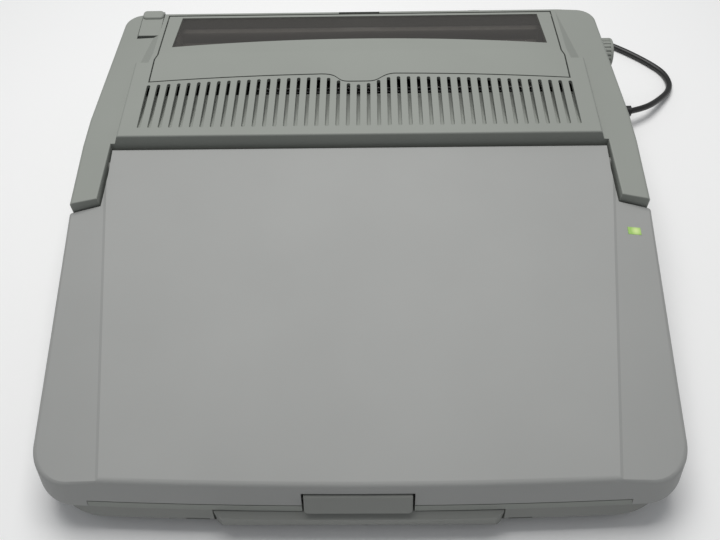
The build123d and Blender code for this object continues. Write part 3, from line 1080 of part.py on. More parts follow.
def printer_pieces():
    pan = block(-SIDE_PLATE_X - SHEET_T, SIDE_PLATE_X + SHEET_T, PAN_FRONT_Y, PAN_REAR_Y,
                PAN_Z, PAN_Z + SHEET_T)
    plate_top = PLATEN_Z + PLATEN_TEETH * GEAR_MODULE / 2 + 3.3
    side = profile_x([(PAN_FRONT_Y, PAN_Z), (PAN_REAR_Y, PAN_Z), (PAN_REAR_Y, PLATEN_Z + 12),
                      (PLATEN_Y + 6, plate_top), (PINCH_Y - 8, plate_top),
                      (PAN_FRONT_Y, ROD_Z + 9)], SIDE_PLATE_X, SIDE_PLATE_X + SHEET_T)
    holes = rod_x(PLATEN_SHAFT_R + SHAFT_GAP, SIDE_PLATE_X - 1, SIDE_PLATE_X + SHEET_T + 1,
                  PLATEN_Y, PLATEN_Z)
    pinch_hole = rod_x(2.0 + SHAFT_GAP, SIDE_PLATE_X - 1, SIDE_PLATE_X + SHEET_T + 1, PINCH_Y,
                       PINCH_Z)
    holes += rod_x(ROD_R, SIDE_PLATE_X - 1, SIDE_PLATE_X + SHEET_T + 1, ROD_Y, ROD_Z)
    frame = pan
    for plate in both_sides(side - holes):
        frame += plate
    frame -= pinch_hole
    frame -= rod_x(3.0, -SIDE_PLATE_X - 3, -SIDE_PLATE_X + 1, PINION_Y, PINION_Z)
    hanger_x = GEAR_X + GEAR_WIDTH + 1.4
    hanger = block(-SIDE_PLATE_X, hanger_x + SHEET_T, PINCH_Y - 4, PINCH_Y + 4, plate_top - SHEET_T,
                   plate_top)
    hanger += block(hanger_x, hanger_x + SHEET_T, PINCH_Y - 4, PINCH_Y + 4, PINCH_Z - 4,
                    plate_top)
    frame += hanger - rod_x(2.0 + SHAFT_GAP, hanger_x - 1, hanger_x + SHEET_T + 1, PINCH_Y,
                            PINCH_Z)
    frame -= block(GEAR_X - 0.8, GEAR_X + GEAR_WIDTH + 0.8, PLATEN_Y - 12, PLATEN_Y + 12,
                   PAN_Z - 1, PAN_Z + SHEET_T + 1)
    frame += block(-SIDE_PLATE_X, SIDE_PLATE_X, RAIL_Y - 1.5, RAIL_Y + 1.5, PAN_Z, ROD_Z - 4)
    frame -= rod_z(3.0, PAN_Z - 1, PAN_Z + 3, -PULLEY_X, BELT_Y)
    frame += rod_z(2.0, PAN_Z + SHEET_T, BELT_Z + 4, PULLEY_X, BELT_Y)
    piece("printer_frame", frame)
    piece("guide_rod", rod_x(ROD_R, -SIDE_PLATE_X - SHEET_T, SIDE_PLATE_X + SHEET_T, ROD_Y,
                             ROD_Z))
    paper_y = PLATEN_Y + PLATEN_R + 2.4
    paper_half = -GEAR_X - GEAR_WIDTH - 1.0
    piece("paper_guide", block(-paper_half, paper_half, paper_y, paper_y + 1.2,
                               PAN_Z + SHEET_T, PLATEN_Z + 16)
          + block(-paper_half, paper_half, paper_y - 4, paper_y + 1.2, PLATEN_Z + 16,
                  PLATEN_Z + 17.2))

    piece("platen_roller", rod_x(PLATEN_R, -PLATEN_HALF, PLATEN_HALF, PLATEN_Y, PLATEN_Z)
          - rod_x(PLATEN_SHAFT_R, -REACH / 2, REACH / 2, PLATEN_Y, PLATEN_Z))
    piece("platen_shaft", rod_x(PLATEN_SHAFT_R, PLATEN_SHAFT_END, KNOB_FACE_X - 3, PLATEN_Y,
                                PLATEN_Z))
    toward_pinion = math.radians(180 + PINION_ANGLE)
    platen_gear = gear_at(PLATEN_TEETH, GEAR_X, PLATEN_Y, PLATEN_Z, toward_pinion)
    piece("platen_gear", platen_gear - rod_x(PLATEN_SHAFT_R, -REACH / 2, REACH / 2, PLATEN_Y,
                                             PLATEN_Z))
    pinion_phase = math.radians(PINION_ANGLE) + math.pi / PINION_TEETH
    pinion = gear_at(PINION_TEETH, GEAR_X, PINION_Y, PINION_Z, pinion_phase)
    pinion += rod_x(1.5, -SIDE_PLATE_X - SHEET_T - 12, GEAR_X + 1, PINION_Y, PINION_Z)
    piece("feed_pinion", pinion)
    feed_motor = rod_x(FEED_MOTOR_R, -SIDE_PLATE_X - SHEET_T - 20, -SIDE_PLATE_X - SHEET_T,
                       PINION_Y, PINION_Z)
    feed_motor -= rod_x(1.5 + SHAFT_GAP, -SIDE_PLATE_X - SHEET_T - 12.5,
                        -SIDE_PLATE_X, PINION_Y, PINION_Z)
    piece("feed_motor", feed_motor)
    knob_x = side_x(PLATEN_Y - KNOB_R) + KNOB_GAP
    knob = rod_x(KNOB_R, knob_x, KNOB_FACE_X, PLATEN_Y, PLATEN_Z)
    face_edge = knob.edges().filter_by(GeomType.CIRCLE).sort_by(Axis.X)[-1]
    knob = fillet(face_edge, 1.6)
    flutes = [rod_x(1.1, knob_x - 1, KNOB_FACE_X - 2.5,
                    PLATEN_Y + (KNOB_R + 0.35) * math.cos(2 * math.pi * i / KNOB_FLUTES),
                    PLATEN_Z + (KNOB_R + 0.35) * math.sin(2 * math.pi * i / KNOB_FLUTES))
              for i in range(KNOB_FLUTES)]
    knob -= flutes
    knob -= rod_x(PLATEN_SHAFT_R, knob_x - 1, KNOB_FACE_X - 3, PLATEN_Y, PLATEN_Z)
    piece("feed_knob", knob)
    piece("pinch_shaft", rod_x(2.0, hanger_x - 0.6, SIDE_PLATE_X + SHEET_T + 1, PINCH_Y,
                               PINCH_Z))
    rollers = [rod_x(PINCH_R, x - 12, x + 12, PINCH_Y, PINCH_Z)
               - rod_x(2.0, x - 13, x + 13, PINCH_Y, PINCH_Z) for x in (-105, -35, 35, 105)]
    piece("pinch_rollers", *rollers)


def carriage_pieces():
    x = CARRIAGE_HOME
    low = BELT_Z + 5.0
    body = block(x - CARRIAGE_HALF, x + CARRIAGE_HALF, RAIL_Y - 4.5, ROD_Y + 12, low, ROD_Z + 5)
    body += rod_x(ROD_R + 2.4, x - CARRIAGE_HALF, x + CARRIAGE_HALF, ROD_Y, ROD_Z)
    for y0 in (RAIL_Y - 4.5, RAIL_Y + 1.5 + PANEL_GAP):
        body += block(x - 10, x + 10, y0, y0 + 2.7, low - 2, low)
    clamp_y = BELT_Y + PULLEY_R + 0.3 + BELT_T + PANEL_GAP
    body += block(x - 8, x + 8, clamp_y, clamp_y + 1.6, BELT_Z - 2, low)
    body -= rod_x(ROD_R + SHAFT_GAP, x - CARRIAGE_HALF - 1, x + CARRIAGE_HALF + 1, ROD_Y, ROD_Z)
    piece("carriage", body)
    head_y = ROD_Y + 12
    head = block(x - 12, x + 12, head_y, PLATEN_Y - PLATEN_R - 2.6, low + 2, PLATEN_Z + 8)
    head += block(x - 6, x + 6, PLATEN_Y - PLATEN_R - 2.6, PLATEN_Y - PLATEN_R - PINCH_GAP,
                  PLATEN_Z - 4, PLATEN_Z + 4)
    piece("print_head", head)
    cassette_low = ROD_Z + ROD_R + 3
    pads = block(x - 20, x + 20, RAIL_Y, ROD_Y + 8, ROD_Z + 5, cassette_low)
    cassette = block(x - 34, x + 34, RAIL_Y - 3, ROD_Y + 11.7, cassette_low, cassette_low + 12)
    cassette = fillet(cassette.edges().filter_by(Axis.Z), 5)
    hubs = [rod_z(7, cassette_low - 1, cassette_low + 14, x + dx, RAIL_Y + 15)
            for dx in (-17, 17)]
    for hub in hubs:
        cassette -= hub
    for dx in (-17, 17):
        cassette += (rod_z(6.6, cassette_low, cassette_low + 11, x + dx, RAIL_Y + 15)
                     - rod_z(2.5, cassette_low - 1, cassette_low + 12, x + dx, RAIL_Y + 15))
        cassette += block(x + dx - 7.5, x + dx + 7.5, RAIL_Y + 14, RAIL_Y + 16,
                          cassette_low + 4, cassette_low + 6)
    piece("ribbon_cassette", cassette + pads - rod_x(
        ROD_R + 3, -REACH / 2, REACH / 2, ROD_Y, ROD_Z))
    pulley_low = BELT_Z - 3
    drive = rod_z(PULLEY_R, pulley_low, BELT_Z + 3, -PULLEY_X, BELT_Y)
    drive += rod_z(1.5, PAN_Z - 14, pulley_low, -PULLEY_X, BELT_Y)
    piece("drive_pulley", drive)
    piece("return_pulley", rod_z(PULLEY_R, pulley_low, BELT_Z + 3, PULLEY_X, BELT_Y)
          - rod_z(2.0 + SHAFT_GAP, pulley_low - 1, BELT_Z + 4, PULLEY_X, BELT_Y))
    motor = rod_z(MOTOR_R, PAN_Z - 24, PAN_Z, -PULLEY_X, BELT_Y)
    motor -= rod_z(1.5 + SHAFT_GAP, PAN_Z - 14.5, PAN_Z + 1, -PULLEY_X, BELT_Y)
    piece("carriage_motor", motor)
    loops = []
    for radius, half in ((PULLEY_R + 0.3 + BELT_T, 2.5), (PULLEY_R + 0.3, 3.5)):
        loop = block(-PULLEY_X, PULLEY_X, BELT_Y - radius, BELT_Y + radius, BELT_Z - half,
                     BELT_Z + half)
        for end_x in (-PULLEY_X, PULLEY_X):
            loop += rod_z(radius, BELT_Z - half, BELT_Z + half, end_x, BELT_Y)
        loops.append(loop)
    piece("drive_belt", loops[0] - loops[1])


# ---- Disk drive, boards and side controls
def electronics_pieces():
    face = DRIVE_FACE_X
    drive = block(DRIVE_X, face, DRIVE_FRONT_Y, DRIVE_FRONT_Y + DRIVE_WIDTH, DRIVE_LOW,
                  DRIVE_LOW + DRIVE_HEIGHT)
    slot_y = DRIVE_FRONT_Y + DRIVE_WIDTH / 2
    slot_z = DRIVE_LOW + DRIVE_HEIGHT - 8
    drive -= block(face - DISK_DEPTH, face + 1, slot_y - DISK_WIDTH / 2,
                   slot_y + DISK_WIDTH / 2, slot_z - DISK_SLOT / 2, slot_z + DISK_SLOT / 2)
    button_y = DRIVE_FRONT_Y + DRIVE_WIDTH - 16
    button_z = DRIVE_LOW + 5
    drive -= block(face - 10 - BUTTON_TRAVEL, face + 1, button_y - 6.4, button_y + 6.4,
                   button_z - 2.9, button_z + 2.9)
    piece("disk_drive", drive)
    piece("eject_button", block(face - 9, side_x(button_y) + 1.2, button_y - 6, button_y + 6,
                                button_z - 2.5, button_z + 2.5))
    wall_x = side_x(SWITCH_Y)
    flange_x = side_x(SWITCH_Y + 7 + SWITCH_TRAVEL) - WALL - PANEL_GAP
    piece("power_switch", block(wall_x - 7, wall_x + 1.8, SWITCH_Y - 4, SWITCH_Y + 4,
                                SWITCH_Z - 2, SWITCH_Z + 2)
          + block(wall_x - 7, flange_x, SWITCH_Y - 7, SWITCH_Y + 7, SWITCH_Z - 5,
                  SWITCH_Z + 5))
    x0, x1, y0, y1 = BOARD_BOX
    piece("main_board", block(x0, x1, y0, y1, BOARD_Z, BOARD_Z + BOARD_T))
    chips = []
    for cx, cy, w, d in CHIPS:
        chips.append(block(cx - w / 2, cx + w / 2, cy - d / 2, cy + d / 2, BOARD_Z + BOARD_T,
                           BOARD_Z + BOARD_T + 3.2))
    piece("board_chips", *chips)
    x0, x1, y0, y1 = POWER_BOX
    piece("power_board", block(x0, x1, y0, y1, BOARD_Z, BOARD_Z + BOARD_T))
    top = BOARD_Z + BOARD_T
    core = block(x0 + 14, x0 + 50, y0 + 20, y0 + 50, top, top + 20)
    winding = block(x0 + 20, x0 + 44, y0 + 14, y0 + 56, top + 2, top + 18)
    piece("power_transformer", core + winding)
    piece("power_capacitors", *[rod_z(6.5, top, top + 20, x1 - 14, y0 + dy)
                                for dy in (16, 34, 52)])
    side = side_x(INLET_Y)
    socket = block(side - 18, tray_side_x(INLET_Y + 10, INLET_Z) - 0.6, INLET_Y - 10,
                   INLET_Y + 10, INLET_Z - 6, INLET_Z + 6)
    socket -= block(side - 12, side + 10, INLET_Y - 7.6, INLET_Y + 7.6,
                    INLET_Z - 4.1, INLET_Z + 4.1)
    for dy in (-3.6, 3.6):
        socket += rod_x(1.1, side - 12, side - 3, INLET_Y + dy, INLET_Z)
    piece("mains_inlet", socket)
    inner = arm_inner_x(HINGE_Y - 9) + WALL + PANEL_GAP
    brackets = block(inner, REAR_HALF - WALL - 3, HINGE_Y - 9, HINGE_Y + 9, HINGE_Z - 10,
                     HINGE_Z + 4.5)
    brackets += block(inner, inner + 2.5, HINGE_Y - 9, HINGE_Y + 9, deck_z(HINGE_Y) - 4,
                      HINGE_Z)
    brackets -= rod_x(HINGE_PIN_R + SHAFT_GAP, LID_REAR_HALF, REAR_HALF, HINGE_Y, HINGE_Z)
    piece("hinge_brackets", *both_sides(brackets))


def tray_side_x(y, z):
    """X of the base tray's right side behind the arms at y, at or below its ridge."""
    share = (y - PLATEAU_Y) / (REAR_Y + RIDGE_OUT - PLATEAU_Y)
    ridge = REAR_HALF + RIDGE_OUT - REAR_TAPER * share
    return ridge - (RIDGE_Z - z) * math.tan(math.radians(TRAY_TUCK))


# ---- Mains lead
def lead_route(points):
    """Straight runs joined by arcs as large as the runs allow."""
    vectors = [Vector(*p) for p in points]
    radii = []
    for a, b, c in zip(vectors, vectors[1:], vectors[2:]):
        turn = math.radians((b - a).get_angle(c - b))
        shorter = min((b - a).length, (c - b).length)
        radii.append(0.45 * shorter / math.tan(turn / 2))
    print("lead radii", [round(r, 1) for r in radii])
    return FilletPolyline(*points, radius=radii)


def lead_tube(points):
    path = lead_route(points)
    section = Plane(origin=path @ 0, z_dir=path % 0) * Circle(LEAD_R)
    tube = sweep(section, path=path)
    expected = math.pi * LEAD_R ** 2 * path.length
    print("lead length", round(path.length, 1), "volume ratio", round(tube.volume / expected, 4))
    return tube


def lead_pieces():
    outer_x = tray_side_x(INLET_Y, INLET_Z)
    face_x = outer_x + PANEL_GAP
    start = LEAD_POINTS[0]
    body = block(face_x, face_x + 17, INLET_Y - 9, INLET_Y + 9, INLET_Z - 5.5, INLET_Z + 5.5)
    body = fillet(body.edges().filter_by(Axis.X), 3.5)
    side = side_x(INLET_Y)
    body += block(side - 9, face_x, INLET_Y - 7, INLET_Y + 7, INLET_Z - 3.6, INLET_Z + 3.6)
    for dy in (-3.6, 3.6):
        body -= rod_x(1.3, side - 10, side - 2, INLET_Y + dy, INLET_Z)
    relief = loft([
        (Plane(origin=(face_x + 17, INLET_Y, INLET_Z), z_dir=(1, 0, 0)) * Circle(4.6)).face(),
        (Plane(origin=(start[0] - 5, INLET_Y, INLET_Z), z_dir=(1, 0, 0)) * Circle(3.4)).face()])
    collar = rod_x(4.6, start[0] - 5, start[0], INLET_Y, INLET_Z)
    piece("inlet_plug", body + relief + collar)
    piece("mains_lead", lead_tube(LEAD_POINTS), lead_tube(TAIL_POINTS))
    cx, cy = COIL_CENTRE
    ring = rod_z(COIL_OUTER_R, 0.2, COIL_HEIGHT, cx, cy)
    ring -= rod_z(COIL_INNER_R, -1, COIL_HEIGHT + 1, cx, cy)
    piece("lead_coil", ring)
    plug_relief = loft([
        (Plane(origin=(PLUG_X, PLUG_Y, PLUG_Z), z_dir=(-1, 0, 0)) * Circle(3.2)).face(),
        (Plane(origin=(PLUG_X - 13, PLUG_Y, PLUG_Z), z_dir=(-1, 0, 0)) * Circle(5.0)).face()])
    plug = block(PLUG_X - 35, PLUG_X - 13, PLUG_Y - 10, PLUG_Y + 10, PLUG_Z - 6, PLUG_Z + 6)
    plug = fillet(plug.edges().filter_by(Axis.X), 4.0)
    blades = [block(PLUG_X - 51, PLUG_X - 35, PLUG_Y + dy - 0.75, PLUG_Y + dy + 0.75,
                    PLUG_Z - 3.2, PLUG_Z + 3.2) for dy in (-6.35, 6.35)]
    plug = plug + plug_relief
    for blade in blades:
        plug += blade
    piece("mains_plug", plug)


def origin_shift():
    """Move that puts the origin under the middle of the machine without its lead."""
    boxes = [solid.bounding_box() for name, solids in PIECES.items() if name not in LEAD_PIECES
             for solid in solids]
    middle_x = (min(b.min.X for b in boxes) + max(b.max.X for b in boxes)) / 2
    middle_y = (min(b.min.Y for b in boxes) + max(b.max.Y for b in boxes)) / 2
    return (-middle_x, -middle_y, 0)


def write_pieces():
    """Move every piece to the part's frame and write one STEP file for each."""
    os.makedirs("parts", exist_ok=True)
    shift = origin_shift()
    print("shift", [round(v, 4) for v in shift])
    for name, shapes in PIECES.items():
        solids = [Pos(*shift) * solid for shape in shapes for solid in shape.solids()]
        shape = solids[0] if len(solids) == 1 else Compound(solids)
        shape.label = name
        export_step(shape, f"parts/{name}.step")


def main():
    lid_pieces()
    latch_piece()
    rear_case_piece()
    cover_pieces()
    release_piece()
    tray_piece()
    handle_pieces()
    slider_piece()
    keyboard_pieces()
    printer_pieces()
    carriage_pieces()
    electronics_pieces()
    lead_pieces()
    print("latch swing", LATCH_SWING)
    write_pieces()


if __name__ == "__main__":
    main()
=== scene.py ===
import math

import bpy
from mathutils import Matrix, Vector


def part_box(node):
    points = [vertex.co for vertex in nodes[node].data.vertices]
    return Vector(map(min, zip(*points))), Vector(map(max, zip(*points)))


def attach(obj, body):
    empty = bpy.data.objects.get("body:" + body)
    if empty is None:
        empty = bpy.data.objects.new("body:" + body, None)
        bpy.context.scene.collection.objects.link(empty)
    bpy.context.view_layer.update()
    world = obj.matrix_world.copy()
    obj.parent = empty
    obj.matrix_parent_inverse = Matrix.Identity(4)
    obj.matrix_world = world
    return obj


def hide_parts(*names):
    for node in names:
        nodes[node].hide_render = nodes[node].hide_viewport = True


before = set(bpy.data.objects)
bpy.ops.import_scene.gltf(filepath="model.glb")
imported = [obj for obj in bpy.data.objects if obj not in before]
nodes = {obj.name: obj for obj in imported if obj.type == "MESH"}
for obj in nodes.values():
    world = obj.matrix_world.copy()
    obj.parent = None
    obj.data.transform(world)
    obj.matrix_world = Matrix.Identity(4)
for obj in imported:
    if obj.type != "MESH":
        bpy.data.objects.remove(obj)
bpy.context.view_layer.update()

# ---- Places. Sizes are given in millimetres of the machine's own frame, which has X = 0 on
# the centre plane of the lid and Z = 0 on the table; at() gives metres in the row's frame.
MM = 0.001
PLATEN_AXIS_Y = 172.0


def middle(node, axis):
    low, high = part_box(node)
    return (low[axis] + high[axis]) / 2


SHIFT = Vector((middle("lid_shell", 0), middle("platen_shaft", 1) - PLATEN_AXIS_Y * MM, 0.0))


def at(x, y, z):
    return Vector((x, y, z)) * MM + SHIFT


# ---- Camera, at the photograph's viewing angle
CAMERA_PLACE = (9.44, -358.88, 484.10)
CAMERA_RIGHT = (0.999843, 0.003421, -0.017385)
CAMERA_UP = (0.007588, 0.804010, 0.594570)
CAMERA_BACK = (0.016012, -0.594608, 0.803857)
LENS = 39.5
SENSOR_WIDTH = 36.0
VIEW_RANGE = 50.0        # metres


def make_camera():
    data = bpy.data.cameras.new("camera")
    data.lens = LENS
    data.sensor_width = SENSOR_WIDTH
    data.clip_end = VIEW_RANGE
    camera = bpy.data.objects.new("camera", data)
    bpy.context.scene.collection.objects.link(camera)
    axes = [Vector(axis) for axis in (CAMERA_RIGHT, CAMERA_UP, CAMERA_BACK)]
    turn = Matrix(axes).transposed().to_4x4()
    camera.matrix_world = Matrix.Translation(at(*CAMERA_PLACE)) @ turn
    bpy.context.scene.camera = camera


make_camera()


# ---- Materials
CLOUD_SCALE = 9.0        # soft colour variation of moulded plastic, per metre
DRAWN_SCALE = 300.0      # roughness variation of metal
CLEAR_ROUGH = 0.12       # surface of clear plastic
EDGE_BLEND = 0.06        # how late clear plastic turns opaque towards grazing angles


def new_material(name, colour, rough, metallic=0.0):
    material = bpy.data.materials.new(name)
    material.use_nodes = True
    shader = material.node_tree.nodes["Principled BSDF"]
    shader.inputs["Base Color"].default_value = (*colour, 1.0)
    shader.inputs["Roughness"].default_value = rough
    shader.inputs["Metallic"].default_value = metallic
    return material, shader


def object_coordinates(tree):
    return tree.nodes.new("ShaderNodeTexCoord").outputs["Object"]


def noise(tree, scale, detail=3.0, rough=0.5):
    node = tree.nodes.new("ShaderNodeTexNoise")
    node.inputs["Scale"].default_value = scale
    node.inputs["Detail"].default_value = detail
    node.inputs["Roughness"].default_value = rough
    tree.links.new(object_coordinates(tree), node.inputs["Vector"])
    return node.outputs["Fac"]


def ramp(tree, value, stops):
    node = tree.nodes.new("ShaderNodeValToRGB")
    ramp_stops = node.color_ramp.elements
    while len(ramp_stops) < len(stops):
        ramp_stops.new(0.5)
    for stop, (place, colour) in zip(ramp_stops, stops):
        stop.position = place
        stop.color = (*colour, 1.0)
    tree.links.new(value, node.inputs["Fac"])
    return node.outputs["Color"]


def grain_bump(tree, shader, scale, depth):
    """Fine moulded texture, depth in metres."""
    bump = tree.nodes.new("ShaderNodeBump")
    bump.inputs["Strength"].default_value = 1.0
    bump.inputs["Distance"].default_value = depth
    tree.links.new(noise(tree, scale, 2.0), bump.inputs["Height"])
    tree.links.new(bump.outputs["Normal"], shader.inputs["Normal"])


def plastic(name, colour, rough, grain=0.00002, grain_scale=2600.0, vary=0.035):
    """Moulded plastic: a colour that varies a little, and a fine grain."""
    material, shader = new_material(name, colour, rough)
    tree = material.node_tree
    dark = [c * (1 - vary) for c in colour]
    light = [c * (1 + vary) for c in colour]
    cloud = noise(tree, CLOUD_SCALE, 4.0)
    tree.links.new(ramp(tree, cloud, [(0.3, dark), (0.7, light)]), shader.inputs["Base Color"])
    if grain:
        grain_bump(tree, shader, grain_scale, grain)
    return material


def metal(name, colour, rough, streak=(1.0, 1.0, 1.0), vary=0.12):
    """Metal with a little cloudy or drawn variation in its roughness."""
    material, shader = new_material(name, colour, rough, 1.0)
    tree = material.node_tree
    mapping = tree.nodes.new("ShaderNodeMapping")
    mapping.inputs["Scale"].default_value = streak
    tree.links.new(object_coordinates(tree), mapping.inputs["Vector"])
    cloud = tree.nodes.new("ShaderNodeTexNoise")
    cloud.inputs["Scale"].default_value = DRAWN_SCALE
    tree.links.new(mapping.outputs["Vector"], cloud.inputs["Vector"])
    spread = tree.nodes.new("ShaderNodeMapRange")
    spread.inputs["To Min"].default_value = rough - vary / 2
    spread.inputs["To Max"].default_value = rough + vary / 2
    tree.links.new(cloud.outputs["Fac"], spread.inputs["Value"])
    tree.links.new(spread.outputs["Result"], shader.inputs["Roughness"])
    return material


def smoked(name, colour, clear, haze):
    """Tinted clear plastic that shows what is under it, darkened; haze is the share of its
    own surface seen straight on."""
    material, shader = new_material(name, colour, CLEAR_ROUGH)
    tree = material.node_tree
    see = tree.nodes.new("ShaderNodeBsdfTransparent")
    see.inputs["Color"].default_value = (*clear, 1.0)
    mix = tree.nodes.new("ShaderNodeMixShader")
    facing = tree.nodes.new("ShaderNodeLayerWeight")
    facing.inputs["Blend"].default_value = EDGE_BLEND
    edge = tree.nodes.new("ShaderNodeMapRange")
    edge.inputs["To Min"].default_value = haze
    edge.inputs["To Max"].default_value = 1.0
    tree.links.new(facing.outputs["Facing"], edge.inputs["Value"])
    tree.links.new(edge.outputs["Result"], mix.inputs["Fac"])
    tree.links.new(see.outputs["BSDF"], mix.inputs[1])
    tree.links.new(shader.outputs["BSDF"], mix.inputs[2])
    out = tree.nodes["Material Output"]
    tree.links.new(mix.outputs["Shader"], out.inputs["Surface"])
    return material


CASE = plastic("case_grey", (0.269, 0.284, 0.260), 0.6)
LID = plastic("lid_grey", (0.334, 0.339, 0.330), 0.6)
# tray grey: darker than the case grey partly as painted shade, standing in for the shade that
# falls on the front-facing tray, handle and latch
SHADED_TRAY_GREY = plastic("tray_grey_and_painted_shade", (0.236, 0.243, 0.228), 0.6)
DARK_CASE = plastic("dark_case_grey", (0.235, 0.240, 0.225), 0.5)
BLACK = plastic("black_plastic", (0.018, 0.018, 0.018), 0.45)
SCREEN = plastic("screen_grey_green", (0.24, 0.27, 0.20), 0.45, grain=0)
KEY = plastic("key_cream", (0.42, 0.42, 0.38), 0.5, grain=0.00001)
DARK_KEY = plastic("key_grey", (0.13, 0.135, 0.13), 0.5, grain=0.00001)
WHITE = plastic("white_nylon", (0.66, 0.65, 0.60), 0.4, grain=0)
RUBBER = plastic("black_rubber", (0.022, 0.022, 0.022), 0.75, grain=0.00004)
ROLLER = plastic("platen_rubber", (0.095, 0.092, 0.090), 0.5, grain=0.00001)
GREY_RUBBER = plastic("grey_rubber", (0.240, 0.230, 0.215), 0.6, grain=0.00001)
CORD = plastic("cord_black", (0.014, 0.014, 0.014), 0.42, grain=0)
BOARD = plastic("board_green", (0.015, 0.095, 0.035), 0.4, grain=0)
CHIP = plastic("chip_black", (0.012, 0.012, 0.012), 0.5, grain=0)
IRON = plastic("transformer_iron", (0.05, 0.045, 0.04), 0.6, grain=0.00003)
STEEL = metal("ground_steel", (0.55, 0.55, 0.55), 0.25, (0.05, 1.0, 1.0))
ZINC = metal("plated_sheet", (0.52, 0.53, 0.52), 0.38)
ALLOY = metal("plain_alloy", (0.42, 0.42, 0.43), 0.4)
WINDOW = smoked("smoked_window", (0.200, 0.196, 0.190), (0.84, 0.82, 0.80), 0.12)
GLASS = smoked("screen_glass", (0.060, 0.070, 0.066), (0.80, 0.83, 0.78), 0.05)


GLOW_OFFSET = 1.2 * MM   # the lit spot lies a little right of the lens's middle
GLOW_STOPS = [(0.0, (1.0, 1.0, 0.55)), (0.0022, (0.62, 0.85, 0.16)),
              (0.0042, (0.22, 0.36, 0.10))]


def lamp_material():
    """Green lens with a lit spot in its middle."""
    material, shader = new_material("lamp_lens", (0.20, 0.34, 0.10), 0.25)
    tree = material.node_tree
    low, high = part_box("power_lamp")
    place = tree.nodes.new("ShaderNodeVectorMath")
    place.operation = "DISTANCE"
    tree.links.new(object_coordinates(tree), place.inputs[0])
    place.inputs[1].default_value = ((low[0] + high[0]) / 2 + GLOW_OFFSET,
                                     (low[1] + high[1]) / 2, high[2])
    glow = ramp(tree, place.outputs["Value"], GLOW_STOPS)
    tree.links.new(glow, shader.inputs["Emission Color"])
    shader.inputs["Emission Strength"].default_value = 0.55
    return material


LAMP = lamp_material()

DRESS = {
    CASE: ["rear_case", "keyboard_deck", "printer_cover", "release_lever", "feed_knob",
           "lid_bezel"],
    LID: ["lid_shell"],
    # painted shade: these front-facing parts take the darkened tray grey
    SHADED_TRAY_GREY: ["base_tray", "handle_grip", "handle_arms", "lid_latch"],
    DARK_CASE: ["hinge_pins", "hinge_brackets", "contrast_slider", "power_switch",
                "eject_button"],
    BLACK: ["key_frame", "carriage", "ribbon_cassette", "mains_inlet", "power_capacitors"],
    KEY: ["number_keys", "top_letter_keys", "home_keys", "bottom_letter_keys", "space_bar"],
    DARK_KEY: ["function_keys", "modifier_keys"],
    WHITE: ["platen_gear", "feed_pinion", "drive_pulley", "return_pulley"],
    RUBBER: ["rubber_feet", "drive_belt"],
    ROLLER: ["platen_roller"],
    GREY_RUBBER: ["pinch_rollers"],
    CORD: ["inlet_plug", "mains_plug"],
    BOARD: ["main_board", "power_board"],
    CHIP: ["board_chips"],
    IRON: ["power_transformer"],
    STEEL: ["platen_shaft", "pinch_shaft", "guide_rod", "base_screws", "lid_screws"],
    ZINC: ["printer_frame", "paper_guide", "key_backplate"],
    SCREEN: ["display_module"],
    ALLOY: ["carriage_motor", "feed_motor", "print_head", "disk_drive"],
    WINDOW: ["cover_window"],
    GLASS: ["display_glass"],
    LAMP: ["power_lamp"],
}


def dress(name, material):
    data = nodes[name].data
    data.materials.clear()
    data.materials.append(material)


for material, names in DRESS.items():
    for name in names:
        dress(name, material)


# ---- Mains lead: one smooth curve with its turns, put away behind the machine
LEAD_R = 2.6
LEAD_POINTS = [
    (232.0, 156.0, 15.0), (245.5, 161.5, 13.0), (261.5, 175.6, 8.6), (279.5, 196.8, 3.4),
    (279.9, 217.2, 2.8), (268.3, 233.8, 2.8), (244.7, 256.0, 2.8), (216.0, 275.0, 2.8),
    (184.0, 286.5, 2.8), (152.0, 291.5, 2.8), (118.0, 292.0, 2.8),
]
TAIL_POINTS = [
    (112.0, 292.0, 18.7), (96.0, 292.6, 17.4), (80.0, 291.2, 12.4), (64.0, 289.2, 7.6),
    (50.0, 288.5, 6.4),
]
COIL_X, COIL_Y = 115.0, 258.0
# radius and height of the cord's centre at the end of each turn
COIL_TURNS = [(34.0, 2.8), (28.4, 2.8), (28.4, 8.1), (34.0, 8.1), (34.0, 13.4), (28.4, 13.4),
              (28.4, 18.7), (34.0, 18.7)]
COIL_STEPS = 16


def coil_points():
    points = []
    for turn, (start, end) in enumerate(zip(COIL_TURNS, COIL_TURNS[1:])):
        for step in range(COIL_STEPS):
            share = step / COIL_STEPS
            if turn == 0 and step == 0:
                continue
            angle = math.pi / 2 + 2 * math.pi * share
            radius = start[0] + (end[0] - start[0]) * share
            height = start[1] + (end[1] - start[1]) * share
            points.append((COIL_X + radius * math.cos(angle), COIL_Y + radius * math.sin(angle),
                           height))
    return points


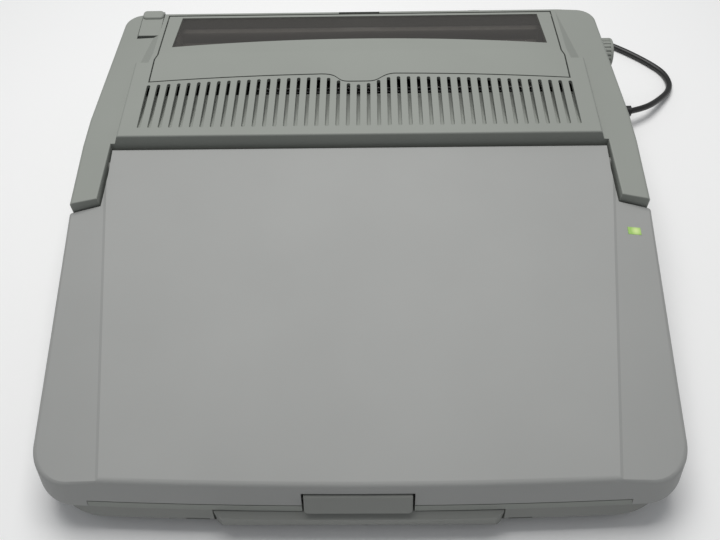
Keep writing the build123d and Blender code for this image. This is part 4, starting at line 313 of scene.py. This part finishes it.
def lead_curve():
    data = bpy.data.curves.new("mains_cord", "CURVE")
    data.dimensions = "3D"
    data.bevel_depth = LEAD_R * MM
    data.bevel_resolution = 4
    data.resolution_u = 8
    data.use_fill_caps = True
    spline = data.splines.new("NURBS")
    route = LEAD_POINTS + coil_points() + TAIL_POINTS
    spline.points.add(len(route) - 1)
    for point, place in zip(spline.points, route):
        point.co = (*at(*place), 1.0)
    spline.order_u = 3
    spline.use_endpoint_u = True
    data.materials.append(CORD)
    lead = bpy.data.objects.new("mains_cord", data)
    bpy.context.scene.collection.objects.link(lead)
    return lead


lead = lead_curve()
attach(lead, "base")
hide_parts("mains_lead", "lead_coil")


# ---- Smooth shading: faces that meet at less than this angle blend into each other
SMOOTH_ANGLE = 30.0


def smooth(name, angle=SMOOTH_ANGLE):
    data = nodes[name].data
    data.polygons.foreach_set("use_smooth", [True] * len(data.polygons))
    data.set_sharp_from_angle(angle=math.radians(angle))


for name in nodes:
    smooth(name)


# ---- Floor, lights and world
FLOOR_SIZE = 12.0
FLOOR_COLOUR = (0.95, 0.95, 0.95)
LIGHT_PLACE = (-0.05, 0.28, 1.15)
LIGHT_TARGET = (0, 0, 0.05)
LIGHT_SIZE = (0.8, 0.6)
LIGHT_POWER = 10.5
LIGHT_COLOUR = (1.0, 0.995, 0.98)
SKY_COLOUR = (0.95, 0.97, 1.0, 1.0)
SKY_STRENGTH = 0.31


def make_stage():
    bpy.ops.mesh.primitive_plane_add(size=FLOOR_SIZE, location=(0, 0, 0))
    floor = bpy.context.object
    floor.name = "floor"
    material, shader = new_material("floor_white", FLOOR_COLOUR, 0.6)
    floor.data.materials.append(material)


def area_light(name, place, target, size, power, colour):
    data = bpy.data.lights.new(name, "AREA")
    data.shape = "RECTANGLE"
    data.size, data.size_y = size
    data.energy = power
    data.color = colour
    lamp = bpy.data.objects.new(name, data)
    lamp.location = place
    direction = Vector(target) - Vector(place)
    lamp.rotation_euler = direction.to_track_quat("-Z", "Y").to_euler()
    bpy.context.scene.collection.objects.link(lamp)


make_stage()
area_light("key_light", LIGHT_PLACE, LIGHT_TARGET, LIGHT_SIZE, LIGHT_POWER, LIGHT_COLOUR)
world = bpy.data.worlds.new("world")
bpy.context.scene.world = world
world.use_nodes = True
background = world.node_tree.nodes["Background"]
background.inputs["Color"].default_value = SKY_COLOUR
background.inputs["Strength"].default_value = SKY_STRENGTH
bpy.context.scene.view_settings.view_transform = "Standard"
